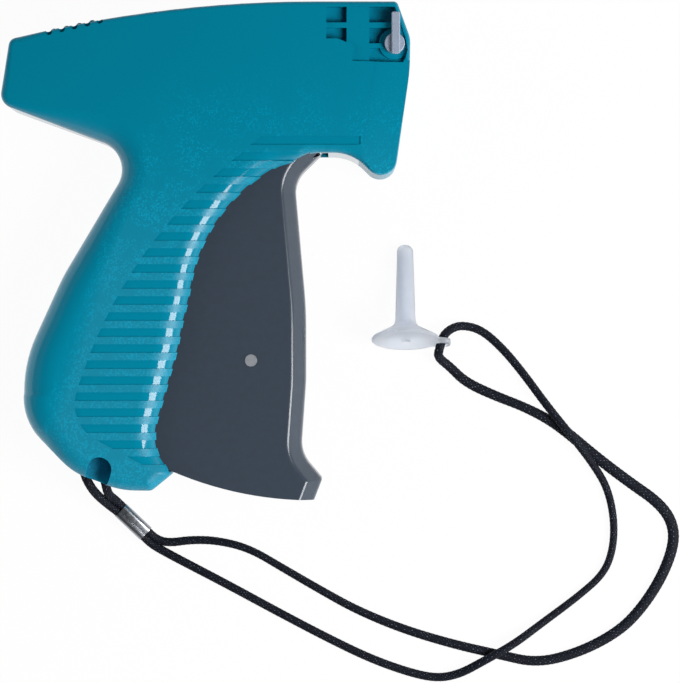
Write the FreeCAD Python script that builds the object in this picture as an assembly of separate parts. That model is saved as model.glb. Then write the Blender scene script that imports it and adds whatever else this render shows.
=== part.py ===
import FreeCAD, Part
import math
import os
from FreeCAD import Vector

# Garment tag attacher: a pistol-grip tool that lies on its left side.
# Frame: +X is the muzzle's way, +Y the top of the tool, +Z out of its right side.
# Z = 0 is the surface that it lies on. All lengths are millimetres, all angles degrees.

os.makedirs("parts", exist_ok=True)

# ---- Driving dimensions: the shells ----
body_thickness = 28.0
wall = 2.2
bay_clearance = 0.5
groove_depth = 0.32
groove_width = 2.5
groove_pitch = 4.73
groove_count = 21
first_groove_y = 32.7
groove_right_end = 46.0
second_groove_right_end = 31.0
notch_count = 5
notch_pitch = 3.75
first_notch_x = -46.4
notch_depth = 0.45
ridge_height = 0.15
cheek_step = 0.3
cheek_slope = 3.0

# Plan outline of the shells: corner, its own radius, and the rounding of the side's edge there.
OUTLINE = [
    ("top_front", 56.8, 73.85, 1.5, 1.2),
    ("rear_end_of_top", -8.0, 73.85, 360.0, 1.2),
    ("rear_top", -57.8, 62.75, 2.4, 1.6),
    ("rear_bottom", -60.9, 43.8, 4.2, 2.2),
    ("web_of_hand", -20.95, 28.85, 8.6, 8.0),
    ("grip_back_high", -42.6, -7.1, 60.0, 9.5),
    ("grip_back_low", -54.3, -32.8, 40.0, 9.5),
    ("heel_back", -54.3, -50.9, 17.7, 8.0),
    ("heel_back_low", -39.1, -65.8, 20.0, 5.5),
    ("heel_bottom_back", -24.9, -70.95, 25.0, 4.0),
    ("heel_bottom_front", -15.9, -70.95, 2.5, 3.5),
    ("heel_front", -10.3, -66.35, 1.2, 4.5),
    ("grip_front_low", -13.9, -54.6, 16.0, 8.0),
    ("grip_front_high", -6.3, -29.4, 60.0, 8.5),
    ("armpit", 0.8, 12.8, 48.0, 7.0),
    ("finger_arch_back", 31.25, 29.15, 10.0, 2.6),
    ("finger_arch_front", 43.35, 29.15, 13.0, 2.2),
    ("nose_tip", 55.45, 17.15, 4.8, 1.8),
    ("front_low", 60.6, 53.4, 60.0, 1.2),
    ("front_high", 60.75, 63.0, 7.0, 1.2),
]

# ---- Driving dimensions: the trigger and its linkage ----
trigger_width = 20.0
trigger_wall = 2.4
trigger_travel = 20.0
trigger_front_wall = 3.8
trigger_front_bevel = 3.95
trigger_bevel_edge_rounding = 1.8
trigger_bevel_foot_rounding = 3.5
trigger_toe_rounding = 1.2
trigger_reach = 105.5
trigger_pivot = Vector(31.85, 31.63, 0)
trigger_hub_radius = 3.5
trigger_sleeve_radius = 2.5
pivot_pin_radius = 1.6
link_pin = Vector(13.55, -32.36, 0)
link_pin_radius = 1.8
lever_pivot = Vector(-1.5, -1.5, 0)
lever_pin_radius = 2.0
lever_thickness = 8.0
lever_hub_radius = 6.0
lever_slot_wall = 2.4
slot_play = 0.3
upper_slot_play = 0.45
bracket_gauge = 1.5
bracket_play = 0.2
fit_play = 0.02
turning_play = 0.05

# ---- Driving dimensions: the slide, the head and the feed ----
needle_axis_y = 60.5
slide_height = 7.0
slide_width = 14.0
slide_play = 0.12
drive_pin_radius = 1.6
rod_radius = 0.65
rod_hole_radius = 0.95
rod_tip_x = 41.6
socket_radius = 2.5
socket_depth = 8.0
seat_back_x = 50.0
seat_front_x = 60.3
seat_height = 9.2
seat_depth = 9.0
guide_back_x = 42.0
guide_front_x = 49.4
guide_low_y = 52.5
guide_high_y = 71.3
guide_depth = 8.4
channel_width = 5.0
channel_depth = 6.0
feed_axis_y = 64.5
feed_axis_z = 20.3
feed_tip_radius = 4.3
feed_root_radius = 3.2
feed_teeth = 12
feed_wheel_width = 3.8
feed_axle_radius = 1.2
pawl_pivot_y = 59.0
pawl_pivot_z = 23.6
pawl_pin_radius = 0.7
recess_depth = 0.7
pocket_floor_z = 25.0
lower_pocket_floor_z = 25.6
head_block_gap = 0.3
lock_x = 56.1
lock_y = 61.35
lock_disc_radius = 3.0
lock_shaft_radius = 2.0
lock_ring_radius = 4.6
lock_arm_width = 2.5
lock_arm_top = 70.5
lock_arm_bottom = 58.1
lock_height = 2.2

# ---- Driving dimensions: fasteners, heel, cap and cord ----
spring_stop = Vector(28.1, 38.8, 0)
spring_stop_radius = 1.2
screw_radius = 1.5
screw_head_radius = 2.8
screw_head_height = 2.2
screw_head_z = 3.2
screw_length = 20.3
boss_radius = 3.2
head_boss_radius = 4.3
post = Vector(-34.0, -63.4, 0)
post_radius = 1.5
post_boss_radius = 3.0
cord_slot = 5.6
heel_hole = Vector(-31.3, -64.65, 0)
heel_hole_radius = 3.73
heel_hole_floor_z = 21.5
cord_diameter = 2.6
cap_flange_radius = 10.2
cap_rim_height = 0.8
cap_tip_radius = 2.45
cap_tip_rounding = 2.1
cap_base_radius = 3.05
cap_length = 30.2
cap_bore_radius = 1.5
cap_bore_depth = 28.0
cap_eye_distance = 11.5
cap_eye_radius = 1.8
cap_eye_turn = 20.0
cap_x = 59.7
cap_y = -26.6
ferrule_width = 5.1
ferrule_height = 3.2
ferrule_start = Vector(-26.55, -77.74, 5.2)
ferrule_end = Vector(-19.1, -85.0, 2.4)

# ---- Worked out from the above ----
mid_z = body_thickness / 2
side_z = body_thickness - wall
trigger_top_z = mid_z + trigger_width / 2
bay_top_z = trigger_top_z + bay_clearance
lever_top_z = mid_z + lever_thickness / 2
bracket_in_z = lever_top_z + bracket_play
bracket_out_z = bracket_in_z + bracket_gauge
seat_top_z = mid_z + seat_depth / 2
head_block_z = seat_top_z + head_block_gap
guide_top_z = mid_z + guide_depth / 2
channel_mid_x = (guide_back_x + guide_front_x) / 2
UP = Vector(0, 0, 1)


# ---- Plane geometry ----
def flat(point):
    return Vector(point[0], point[1], 0)


def turned(point, centre, degrees):
    """The point turned about the centre, anticlockwise as seen from +Z."""
    angle = math.radians(degrees)
    away = point - centre
    x = away.x * math.cos(angle) - away.y * math.sin(angle)
    y = away.x * math.sin(angle) + away.y * math.cos(angle)
    return Vector(centre.x + x, centre.y + y, 0)


def signed_area(corners):
    pairs = zip(corners, corners[1:] + corners[:1])
    return sum(a[0] * b[1] - b[0] * a[1] for a, b in pairs) / 2


def inset(corners, depth):
    """The corners with every side moved inwards by depth. Radii follow: convex ones shrink, hollow ones grow."""
    side = 1 if signed_area(corners) > 0 else -1
    lines = []
    for a, b in zip(corners, corners[1:] + corners[:1]):
        run = (flat(b) - flat(a)).normalize()
        inward = Vector(-run.y, run.x, 0) * side
        lines.append((flat(a) + inward * depth, run))
    moved = []
    for index, corner in enumerate(corners):
        start, run = lines[index - 1]
        other, way = lines[index]
        cross = run.x * way.y - run.y * way.x
        gap = other - start
        along = (gap.x * way.y - gap.y * way.x) / cross
        point = start + run * along
        radius = corner[2] - depth if cross * side > 0 else corner[2] + depth
        edge = max(corner[3] - depth, 0.4) if len(corner) > 3 else 0
        moved.append((point.x, point.y, max(radius, 0.3), edge))
    return moved


def rounded_outline(corners, z):
    """A closed wire through the corners, each rounded by a tangent arc, and the edge rounding at each arc's ends."""
    arcs = []
    for index, corner in enumerate(corners):
        here = Vector(corner[0], corner[1], z)
        back = (flat(corners[index - 1]) - flat(corner)).normalize()
        ahead = (flat(corners[(index + 1) % len(corners)]) - flat(corner)).normalize()
        half_angle = back.getAngle(ahead) / 2
        if corner[2] <= 0:
            arcs.append((here, None, here))
            continue
        reach = corner[2] / math.tan(half_angle)
        towards = (back + ahead).normalize()
        middle = here + towards * (corner[2] / math.sin(half_angle) - corner[2])
        arcs.append((here + back * reach, middle, here + ahead * reach))
    edges = []
    edge_rounding = {}
    for index, (start, middle, end) in enumerate(arcs):
        if middle is not None:
            edges.append(Part.Arc(start, middle, end).toShape())
        following = arcs[(index + 1) % len(arcs)][0]
        if (following - end).Length > 1e-6:
            edges.append(Part.LineSegment(end, following).toShape())
        if len(corners[index]) > 3:
            for point in (start, end):
                edge_rounding[(round(point.x, 3), round(point.y, 3))] = corners[index][3]
    return Part.Wire(edges), edge_rounding


def prism(corners, low_z, high_z):
    """A straight block over the rounded outline, between two heights."""
    corners = [tuple(c) + (0,) if len(c) == 2 else c for c in corners]
    wire, _ = rounded_outline(corners, low_z)
    return Part.Face(wire).extrude(Vector(0, 0, high_z - low_z))


def box(x0, x1, y0, y1, z0, z1):
    return Part.makeBox(x1 - x0, y1 - y0, z1 - z0, Vector(x0, y0, z0))


def rod(centre, radius, low_z, high_z):
    return Part.makeCylinder(radius, high_z - low_z, Vector(centre.x, centre.y, low_z), UP)


def rod_x(y, z, radius, low_x, high_x):
    return Part.makeCylinder(radius, high_x - low_x, Vector(low_x, y, z), Vector(1, 0, 0))


def both_sides(shape):
    """The shape and its mirror image in the parting plane."""
    return [shape, mirrored(shape)]


def mirrored(shape):
    return shape.mirror(Vector(0, 0, mid_z), UP)


def joined(shapes):
    first = shapes[0]
    return first.fuse(shapes[1:]).removeSplitter() if len(shapes) > 1 else first


def rounded_by_edge(solid, edges):
    """The solid with each listed edge rounded by its own start and end radius."""
    document = FreeCAD.newDocument("rounding")
    base = document.addObject("Part::Feature", "base")
    base.Shape = solid
    fillet = document.addObject("Part::Fillet", "fillet")
    fillet.Base = base
    fillet.Edges = edges
    document.recompute()
    result = fillet.Shape.copy()
    FreeCAD.closeDocument(document.Name)
    return Part.Solid(result.Solids[0])


# ---- The half shells ----
def nearest_corner(corners, place):
    """The outline's point that lies nearest to a place."""
    return min(corners, key=lambda corner: math.hypot(corner[0] - place.x, corner[1] - place.y))


def shell_form(depth):
    """The right half's outer form, set in by depth: a block over the outline whose side edge is rounded."""
    corners = [c[1:] for c in OUTLINE]
    if depth > 0:
        corners = inset(corners, depth)
    wire, edge_rounding = rounded_outline(corners, mid_z)
    top_z = body_thickness - depth
    solid = Part.Face(wire).extrude(Vector(0, 0, top_z - mid_z))
    edges = []
    for number, edge in enumerate(solid.Edges, 1):
        start = edge.Vertexes[0].Point
        end = edge.Vertexes[-1].Point
        if min(start.z, end.z) > top_z - 1e-6:
            first = edge_rounding[nearest_corner(edge_rounding, start)]
            last = edge_rounding[nearest_corner(edge_rounding, end)]
            edges.append((number, first, last))
    return rounded_by_edge(solid, edges)


def grip_grooves():
    """The ribbed panel: straight bands that end on one long curve, sunk by groove_depth below the shell's surface."""
    panel_corners = [
        (110.0, 112.0),
        (-24.5, -0.4, 140.0),
        (-41.0, -51.0, 12.0),
        (30.0, -89.2),
        (110.0, -89.2),
    ]
    panel_corners = [c if len(c) == 3 else c + (0,) for c in panel_corners]
    panel = prism(panel_corners, mid_z, body_thickness + 1)
    bands = []
    for index in range(groove_count):
        y = first_groove_y - index * groove_pitch
        right = groove_right_end if index == 0 else second_groove_right_end
        band = box(-60, right, y - groove_width / 2, y + groove_width / 2, mid_z, body_thickness + 1)
        bands.append(band.common(panel))
    return Part.makeCompound(bands).cut(shell_form(groove_depth))


def top_line_y(x):
    """Height of the top's straight rear stretch at x."""
    low = OUTLINE[2]
    high = OUTLINE[1]
    return low[2] + (x - low[1]) * (high[2] - low[2]) / (high[1] - low[1])


def thumb_notches():
    """Cutters for the shallow cross grooves of the thumb grip, with the scoop at each end."""
    radius = 1.2
    scoop_drop = 1.25
    cutters = []
    for index in range(notch_count):
        x = first_notch_x + index * notch_pitch
        y = top_line_y(x) + radius - notch_depth
        cutters.append(rod(Vector(x, y, 0), radius, mid_z, body_thickness + 1))
        low = Vector(x + 0.35, y - scoop_drop, 0)
        cutters.append(rod(low, radius * 0.8, body_thickness - 1.1, body_thickness + 1))
        cutters.append(rod(Vector(x + 0.2, y - scoop_drop / 2, 0), radius * 0.8, body_thickness - 1.1, body_thickness + 1))
    return cutters


def thumb_ridges():
    """Low rounded ridges between the cross grooves."""
    radius = 1.25
    ridges = []
    for index in range(notch_count - 1):
        x = first_notch_x + (index + 0.5) * notch_pitch
        centre = Vector(x, top_line_y(x) - radius + ridge_height, 0)
        ridges.append(rod(centre, radius, mid_z, body_thickness - 1.4))
    return ridges


def front_cheek_cutter():
    """Lowers the smooth cheek behind the nose by a small step and a slope towards the front."""
    back_high = Vector(49.9, 58.0, body_thickness - cheek_step)
    corners = [(49.9, 56.4), (46.5, 33.0), (46.0, 10.0), (70.0, 10.0), (70.0, 56.4)]
    block = prism(corners, body_thickness - 4, body_thickness + 2)
    keep = Part.makeBox(60, 120, 10, Vector(-10, -60, -10))
    keep.rotate(Vector(0, 0, 0), Vector(0, 1, 0), cheek_slope)
    keep.translate(Vector(47.5, back_high.y - 20, body_thickness - cheek_step))
    return block.cut(keep)


def trigger_bay():
    """The room that the trigger sweeps, open at the grip's front and under the barrel."""
    back = [
        (trigger_pivot.x + trigger_hub_radius + 1.1, trigger_pivot.y + 4.2),
        (trigger_pivot.x - trigger_hub_radius - 1.0, trigger_pivot.y + 4.2),
        (16.0, 30.0),
        (-8.0, 14.0),
        (-14.0, -20.0),
        (-24.0, -50.0),
        (-24.0, -80.0),
        (trigger_pivot.x + trigger_hub_radius + 1.1, -80.0),
    ]
    area = prism(back, mid_z - 1, bay_top_z)
    reach = rod(trigger_pivot, trigger_reach + bay_clearance, mid_z - 1, bay_top_z)
    return area.common(reach)


SCREWS = [
    Vector(51.5, 34.5, 0),
    Vector(-52.0, 52.5, 0),
    Vector(27.0, 68.0, 0),
    Vector(-22.0, -65.8, 0),
]
BRACKET_SCREWS = [Vector(-23.5, 13.5, 0), Vector(-31.5, -1.0, 0)]


def slide_ribs():
    """Two ribs and a pad that guide one side of the slide."""
    half_height = slide_height / 2 + slide_play
    low_z = mid_z + slide_width / 2
    rib = 1.2
    back, front = -31.0, 34.0
    return [
        box(back, front, needle_axis_y + half_height, needle_axis_y + half_height + rib, low_z - 2, side_z + 1),
        box(back, front, needle_axis_y - half_height - rib, needle_axis_y - half_height, low_z - 2, side_z + 1),
        box(back, front, needle_axis_y - half_height, needle_axis_y + half_height, low_z + slide_play, side_z + 1),
    ]


def inner_bosses():
    """Bosses and ribs that both halves have, on the right half's side."""
    wall_z = side_z + 1
    bosses = [rod(trigger_pivot, trigger_hub_radius + 0.4, bay_top_z - 0.1, wall_z)]
    bosses += [rod(screw, boss_radius, mid_z, wall_z) for screw in SCREWS]
    bosses += [rod(screw, boss_radius, bracket_out_z, wall_z) for screw in BRACKET_SCREWS]
    bosses.append(rod(post, post_boss_radius, mid_z + cord_slot / 2, wall_z))
    bosses += slide_ribs()
    return bosses


def heel_pocket(radius, low_z):
    """The lanyard pocket's form: a round hole drawn out towards the heel's bottom edge."""
    lower = heel_hole + Vector(-0.6, -1.95, 0)
    across = (lower - heel_hole).normalize()
    side = Vector(-across.y, across.x, 0) * radius
    high_z = body_thickness + 1
    corners = [heel_hole + side, heel_hole - side, lower - side, lower + side]
    middle = prism([(c.x, c.y) for c in corners], low_z, high_z)
    return joined([rod(heel_hole, radius, low_z, high_z), middle, rod(lower, radius, low_z, high_z)])


def half_shell():
    """What the two halves have in common, built as the right one."""
    outer = shell_form(0)
    outer = outer.fuse(thumb_ridges()).cut(thumb_notches())
    outer = outer.cut(grip_grooves()).cut(front_cheek_cutter())
    shell = outer.cut(shell_form(wall)).cut(trigger_bay())
    inner = shell_form(wall / 2)
    pocket_wall = heel_pocket(heel_hole_radius + 1.4, heel_hole_floor_z - 1.5)
    added = joined(inner_bosses() + [pocket_wall]).common(inner)
    shell = shell.fuse(added)
    cuts = [rod(trigger_pivot, pivot_pin_radius + fit_play, mid_z, side_z + 0.1)]
    cuts.append(rod(post, post_radius + fit_play, mid_z, mid_z + 4.0))
    cuts.append(heel_pocket(heel_hole_radius, heel_hole_floor_z))
    cuts.append(box(post.x - 5.2, post.x + 5.6, -74, post.y + 4.4, mid_z - 1, mid_z + cord_slot / 2))
    strip = channel_width / 2
    cuts.append(
        box(channel_mid_x - strip, channel_mid_x + strip, guide_high_y - 2, 76, mid_z - 1, mid_z + channel_depth / 2)
    )
    seat_play = 0.1
    seat_half = seat_height / 2 + seat_play
    cuts.append(
        box(seat_back_x, 64, needle_axis_y - seat_half, needle_axis_y + seat_half, mid_z - 1, seat_top_z + seat_play)
    )
    return shell.cut(cuts)


def head_recess():
    """Outline of the shallow recess around the head's pockets."""
    return [
        (35.9, 72.2, 0.3),
        (56.2, 72.2, 0.3),
        (59.2, 63.4, 4.0),
        (60.0, 59.5, 3.0),
        (58.9, 55.75, 0.3),
        (43.5, 56.2, 0.3),
        (43.7, 60.6, 1.5),
        (41.6, 62.4, 1.5),
        (39.0, 62.8, 1.0),
        (35.9, 62.8, 0.3),
    ]


def right_shell():
    """The right half: the common form with the pocketed head and the needle lock's bearing."""
    shell = half_shell()
    blocks = [
        box(34.6, guide_back_x + 0.4, 56.0, 74.0, head_block_z, side_z + 1),
        box(guide_front_x - 1.2, 60.5, 55.2, 74.0, head_block_z, side_z + 1),
    ]
    inner = shell_form(wall / 2)
    shell = shell.fuse([block.common(inner) for block in blocks])
    top = body_thickness + 1
    left_x, bar_left, bar_right, right_x = 35.9, 41.9, 48.6, 56.1
    rib_low, rib_high, top_y, ledge_y = 66.0, 67.6, 72.2, 61.4
    cuts = [prism(head_recess(), body_thickness - recess_depth, top)]
    cuts.append(box(left_x, bar_left, rib_high, top_y, pocket_floor_z, top))
    left_low = [(left_x, rib_low), (left_x, 62.8), (39.2, 62.8, 2.0), (bar_left, 61.7), (bar_left, rib_low)]
    left_low = [c if len(c) == 3 else c + (0,) for c in left_low]
    cuts.append(prism(left_low, pocket_floor_z, top))
    cuts.append(box(bar_right, right_x, rib_high, top_y, pocket_floor_z, top))
    cuts.append(box(bar_right, right_x - 0.6, ledge_y, rib_low, pocket_floor_z, top))
    lower = [(bar_right, 60.0, 0), (bar_right, 56.1, 0), (58.7, 55.8, 0.4), (59.6, 60.0, 0)]
    cuts.append(prism(lower, lower_pocket_floor_z, top))
    shell = shell.cut(cuts)
    lock = Vector(lock_x, lock_y, 0)
    disc_floor_z = body_thickness - 1.4
    ring = rod(lock, lock_ring_radius, head_block_z, disc_floor_z).common(shell_form(0.45))
    shell = shell.fuse(ring)
    bores = [
        rod(lock, lock_disc_radius + 0.4, disc_floor_z, top),
        rod(lock, lock_shaft_radius + turning_play, head_block_z - 1, top),
        rod_x(feed_axis_y, feed_axis_z, feed_axle_radius + fit_play, 41.0, 49.2),
        rod_x(pawl_pivot_y, pawl_pivot_z, pawl_pin_radius + turning_play, 41.0, 49.2),
    ]
    bores += [rod(screw, screw_radius + fit_play, mid_z - 1, screw_head_z + screw_length + 0.8) for screw in SCREWS]
    bores += [
        rod(screw, screw_radius + fit_play, mid_z - 1, screw_head_z + screw_length + 0.8) for screw in BRACKET_SCREWS
    ]
    return one_solid(shell.cut(bores))


def left_shell():
    """The left half: the common form mirrored, with the screws' heads, the strip's side slot and a seat for the head."""
    shell = mirrored(half_shell())
    bosses = [rod(screw, head_boss_radius, 1.0, screw_head_z + screw_head_height + 1.5) for screw in SCREWS]
    bosses += [rod(screw, head_boss_radius, 1.0, screw_head_z + screw_head_height + 1.5) for screw in BRACKET_SCREWS]
    bosses.append(box(23.6, 30.4, 68.0, 75.0, 1.0, screw_head_z + screw_head_height + 1.5))
    seat_low_z = mid_z - seat_depth / 2
    guide_low_z = mid_z - guide_depth / 2
    pedestal = box(seat_back_x + 0.5, 58.0, needle_axis_y - 3.5, needle_axis_y + 3.5, 1.0, seat_low_z)
    guide_foot = [
        box(guide_back_x, guide_back_x + 1.6, guide_low_y, guide_high_y, 1.0, guide_low_z),
        box(guide_front_x - 1.6, guide_front_x, guide_low_y, guide_high_y, 1.0, guide_low_z),
    ]
    inner = mirrored(shell_form(wall / 2))
    stop = rod(spring_stop, spring_stop_radius, 1.0, mid_z - 0.5)
    added = joined(bosses + [pedestal, stop] + guide_foot).common(inner)
    shell = shell.fuse(added)
    cuts = []
    for screw in SCREWS + BRACKET_SCREWS:
        cuts.append(rod(screw, screw_radius + 0.1, 0.5, mid_z + 1))
        cuts.append(rod(screw, screw_head_radius + 0.2, -1, screw_head_z + screw_head_height))
    cuts.append(box(channel_mid_x - 1.1, channel_mid_x + 1.1, guide_low_y - 2, 76, -1, guide_low_z))
    return one_solid(shell.cut(cuts))


def one_solid(shape):
    """The shape's largest solid: trimming can leave loose crumbs that no mould would make."""
    return max(shape.removeSplitter().Solids, key=lambda solid: solid.Volume)


# ---- The trigger ----
def trigger_corners():
    """Plan of the trigger, down past its round bottom."""
    foot_y = trigger_pivot.y - trigger_reach
    touch = math.radians(-47)
    hub_low = trigger_pivot + Vector(math.cos(touch), math.sin(touch), 0) * trigger_hub_radius
    touch_back = math.radians(118)
    hub_high = trigger_pivot + Vector(math.cos(touch_back), math.sin(touch_back), 0) * trigger_hub_radius
    return [
        (hub_low.x, hub_low.y, 0),
        (hub_high.x, hub_high.y, 0),
        (-3.2, 15.0, 28.0),
        (-9.6, -28.8, 40.0),
        (-17.0, foot_y + 19.37, 6.0),
        (-13.0, foot_y - 6.13, 0),
        (29.9, foot_y - 6.13, 0),
        (34.7, foot_y + 6.27, 0),
        (28.3, foot_y + 13.87, 10.0),
        (29.8, -38.5, 60.0),
        (29.8, -17.0, 120.0),
        (26.4, 21.3, 9.0),
    ]


def front_edges(solid, height):
    """Edges of the bevelled front that lie at one height above and below the middle."""
    found = []
    for edge in solid.Edges:
        ends = [edge.valueAt(edge.FirstParameter), edge.valueAt(edge.LastParameter)]
        level = abs(ends[0].z - ends[1].z) < 1e-6
        if level and abs(abs(ends[0].z - mid_z) - height) < 1e-3 and min(end.x for end in ends) > -20:
            found.append(edge)
    return found


def bevelled_front():
    """A slab with the trigger's front, longer than the trigger at both ends, bevelled along both cheeks."""
    corners = trigger_corners()
    toe, neck = Vector(*corners[7][:2], 0), Vector(*corners[11][:2], 0)
    beyond_toe = toe + (Vector(*corners[6][:2], 0) - toe).normalize() * 60
    beyond_neck = neck + (Vector(*corners[0][:2], 0) - neck).normalize() * 60
    outline = [(beyond_toe.x, beyond_toe.y, 0)] + corners[7:] + [(beyond_neck.x, beyond_neck.y, 0)]
    outline += [(-80, beyond_neck.y, 0), (-80, beyond_toe.y, 0)]
    slab = prism(outline, body_thickness - trigger_top_z, trigger_top_z)
    side = trigger_width / 2
    slab = slab.makeChamfer(trigger_front_bevel, front_edges(slab, side))
    slab = slab.makeFillet(trigger_bevel_edge_rounding, front_edges(slab, side))
    slab = slab.makeFillet(trigger_bevel_foot_rounding, front_edges(slab, side - trigger_front_bevel))
    upright = []
    for edge in slab.Edges:
        ends = [edge.valueAt(edge.FirstParameter), edge.valueAt(edge.LastParameter)]
        if abs(ends[0].x - toe.x) < 0.01 and abs(ends[0].z - ends[1].z) > 1:
            upright.append(edge)
    return slab.makeFillet(trigger_toe_rounding, upright)


def trigger():
    low_z = body_thickness - trigger_top_z
    plan = prism(trigger_corners(), low_z, trigger_top_z)
    hub = rod(trigger_pivot, trigger_hub_radius, low_z, trigger_top_z)
    outer = joined([plan, hub]).common(rod(trigger_pivot, trigger_reach, low_z, trigger_top_z))
    outer = outer.removeSplitter()
    outer = outer.common(bevelled_front()).removeSplitter()
    hollow_corners = inset(trigger_corners(), trigger_wall)
    hollow_corners = [c[:3] for c in hollow_corners]
    for index in (2, 3, 4, 5):
        x, y, radius = hollow_corners[index]
        hollow_corners[index] = (x - 9, y + (6 if index == 2 else 0), radius)
    x, y, radius = hollow_corners[1]
    hollow_corners[1] = (x - 2, y + 8, 0)
    thicker = trigger_front_wall - trigger_wall
    for index, share in ((7, 1), (8, 1), (9, 1), (10, 1), (11, 0.4)):
        x, y, radius = hollow_corners[index]
        hollow_corners[index] = (x - thicker * share, y, radius)
    inside_z = trigger_top_z - trigger_wall + 0.2
    hollow = prism(hollow_corners, body_thickness - inside_z, inside_z)
    hollow = hollow.common(rod(trigger_pivot, trigger_reach - trigger_wall, 0, body_thickness))
    sleeve = rod(trigger_pivot, trigger_sleeve_radius, 0, body_thickness)
    round_hub = rod(trigger_pivot, trigger_hub_radius, 7.0, body_thickness - 7.0)
    hollow = hollow.fuse(round_hub).cut(sleeve)
    body = outer.cut(hollow)
    bores = [
        rod(trigger_pivot, pivot_pin_radius + turning_play, 0, body_thickness),
        rod(link_pin, link_pin_radius + fit_play, 0, body_thickness),
    ]
    return one_solid(body.cut(bores))


# ---- The linkage ----
def lever_angle_of(trigger_degrees):
    return lever_ratio * trigger_degrees


squeezed_pin = turned(link_pin, trigger_pivot, -trigger_travel)
arm_at_rest = link_pin - lever_pivot
arm_squeezed = squeezed_pin - lever_pivot
lever_swing = math.degrees(arm_at_rest.getAngle(arm_squeezed))
lever_ratio = lever_swing / trigger_travel
upper_arm = needle_axis_y - lever_pivot.y
slide_travel = 2 * upper_arm * math.tan(math.radians(lever_swing / 2)) * 0.988
drive_pin_x = lever_pivot.x - slide_travel / 2


def link_pin_in_lever(trigger_degrees):
    """Where the trigger's pin stands on the lever, as the lever lies at rest."""
    pin = turned(link_pin, trigger_pivot, -trigger_degrees)
    return turned(pin, lever_pivot, lever_angle_of(trigger_degrees))


def curved_slot(points, half_width, low_z, high_z):
    """A slot along the arc through three points, with round ends."""
    start, middle, end = points
    centre = Part.Arc(start, middle, end).toShape().Curve.Center
    shapes = [rod(start, half_width, low_z, high_z), rod(end, half_width, low_z, high_z)]
    sides = []
    for shift in (half_width, -half_width):
        sides.append([p + (p - centre).normalize() * shift for p in points])
    outer = Part.Arc(*sides[0]).toShape()
    inner = Part.Arc(*sides[1]).toShape()
    ends = [
        Part.LineSegment(sides[0][0], sides[1][0]).toShape(),
        Part.LineSegment(sides[0][2], sides[1][2]).toShape(),
    ]
    wire = Part.Wire(Part.__sortEdges__([outer, inner] + ends))
    face = Part.Face(wire)
    face.translate(Vector(0, 0, low_z))
    shapes.append(face.extrude(Vector(0, 0, high_z - low_z)))
    return joined(shapes)


def straight_bar(start, end, half_width, low_z, high_z):
    """A bar from one point to the other with round ends."""
    across = (end - start).normalize()
    side = Vector(-across.y, across.x, 0) * half_width
    corners = [start + side, start - side, end - side, end + side]
    middle = prism([(c.x, c.y) for c in corners], low_z, high_z)
    return joined([middle, rod(start, half_width, low_z, high_z), rod(end, half_width, low_z, high_z)])


def drive_lever():
    low_z = mid_z - lever_thickness / 2
    high_z = lever_top_z
    lower_path = [link_pin_in_lever(trigger_travel * share) for share in (0, 0.5, 1)]
    upper_way = Vector(
        -math.sin(math.radians(lever_swing / 2)), math.cos(math.radians(lever_swing / 2)), 0
    )
    shortest = upper_arm
    longest = upper_arm / math.cos(math.radians(lever_swing / 2))
    slot_low = lever_pivot + upper_way * shortest
    slot_high = lever_pivot + upper_way * longest
    lower_half = link_pin_radius + slot_play
    upper_half = drive_pin_radius + upper_slot_play
    body = [
        rod(lever_pivot, lever_hub_radius, low_z, high_z),
        curved_slot(lower_path, lower_half + lever_slot_wall, low_z, high_z),
        straight_bar(lever_pivot, lower_path[2], lower_half + lever_slot_wall - 0.4, low_z, high_z),
        straight_bar(lever_pivot, slot_high, upper_half + lever_slot_wall - 0.2, low_z, high_z),
    ]
    lever = joined(body)
    bores = [
        rod(lever_pivot, lever_pin_radius + turning_play, low_z, high_z),
        curved_slot(lower_path, lower_half, low_z, high_z),
        straight_bar(slot_low, slot_high, upper_half, low_z, high_z),
    ]
    return one_solid(lever.cut(bores))


def lever_bracket():
    """A U-shaped steel frame: two plates beside the lever, joined along their back edge."""
    corners = [
        (4.3, 4.6, 5.0),
        (4.3, -7.3, 5.0),
        (-29.5, -6.8, 4.0),
        (-36.2, -3.6, 2.5),
        (-23.0, 18.2, 3.0),
        (-14.5, 15.5, 4.0),
    ]
    low_z = body_thickness - bracket_out_z
    frame = prism(corners, low_z, bracket_out_z)
    across = Vector(0.857, -0.515, 0) * bracket_gauge
    gap = prism(corners, body_thickness - bracket_in_z, bracket_in_z)
    gap.translate(across)
    wide_gap = gap.fuse([gap.translated(across * 2), gap.translated(Vector(0, 4, 0)).common(box(-16, 20, -20, 40, 0, 28))])
    wide_gap = wide_gap.fuse(gap.translated(Vector(0, -6, 0)).common(box(-26, 20, -30, 40, 0, 28)))
    bores = [rod(lever_pivot, lever_pin_radius + fit_play, 0, body_thickness)]
    bores += [rod(screw, screw_radius + 0.1, 0, body_thickness) for screw in BRACKET_SCREWS]
    return one_solid(frame.cut(wide_gap).cut(bores))


def ejector_slide():
    half_height = slide_height / 2
    low_z = mid_z - slide_width / 2
    high_z = mid_z + slide_width / 2
    back = drive_pin_x - 7.5
    front = drive_pin_x + 12.0
    block = box(back, front, needle_axis_y - half_height, needle_axis_y + half_height, low_z, high_z)
    fork_half = lever_thickness / 2 + 0.3
    fork = box(back - 1, drive_pin_x + 7.8, needle_axis_y - 9, needle_axis_y + 9, mid_z - fork_half, mid_z + fork_half)
    pin_centre = Vector(drive_pin_x, needle_axis_y, 0)
    bores = [
        fork,
        rod(pin_centre, drive_pin_radius + fit_play, low_z, high_z),
        rod_x(needle_axis_y, mid_z, rod_radius + 0.01, drive_pin_x + 9.0, front + 1),
    ]
    solid = block.cut(bores)
    long_edges = [e for e in solid.Edges if e.Length > 15 and abs(abs(e.CenterOfMass.z - mid_z) - slide_width / 2) < 0.01]
    return one_solid(solid.makeFillet(0.5, long_edges))


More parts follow.
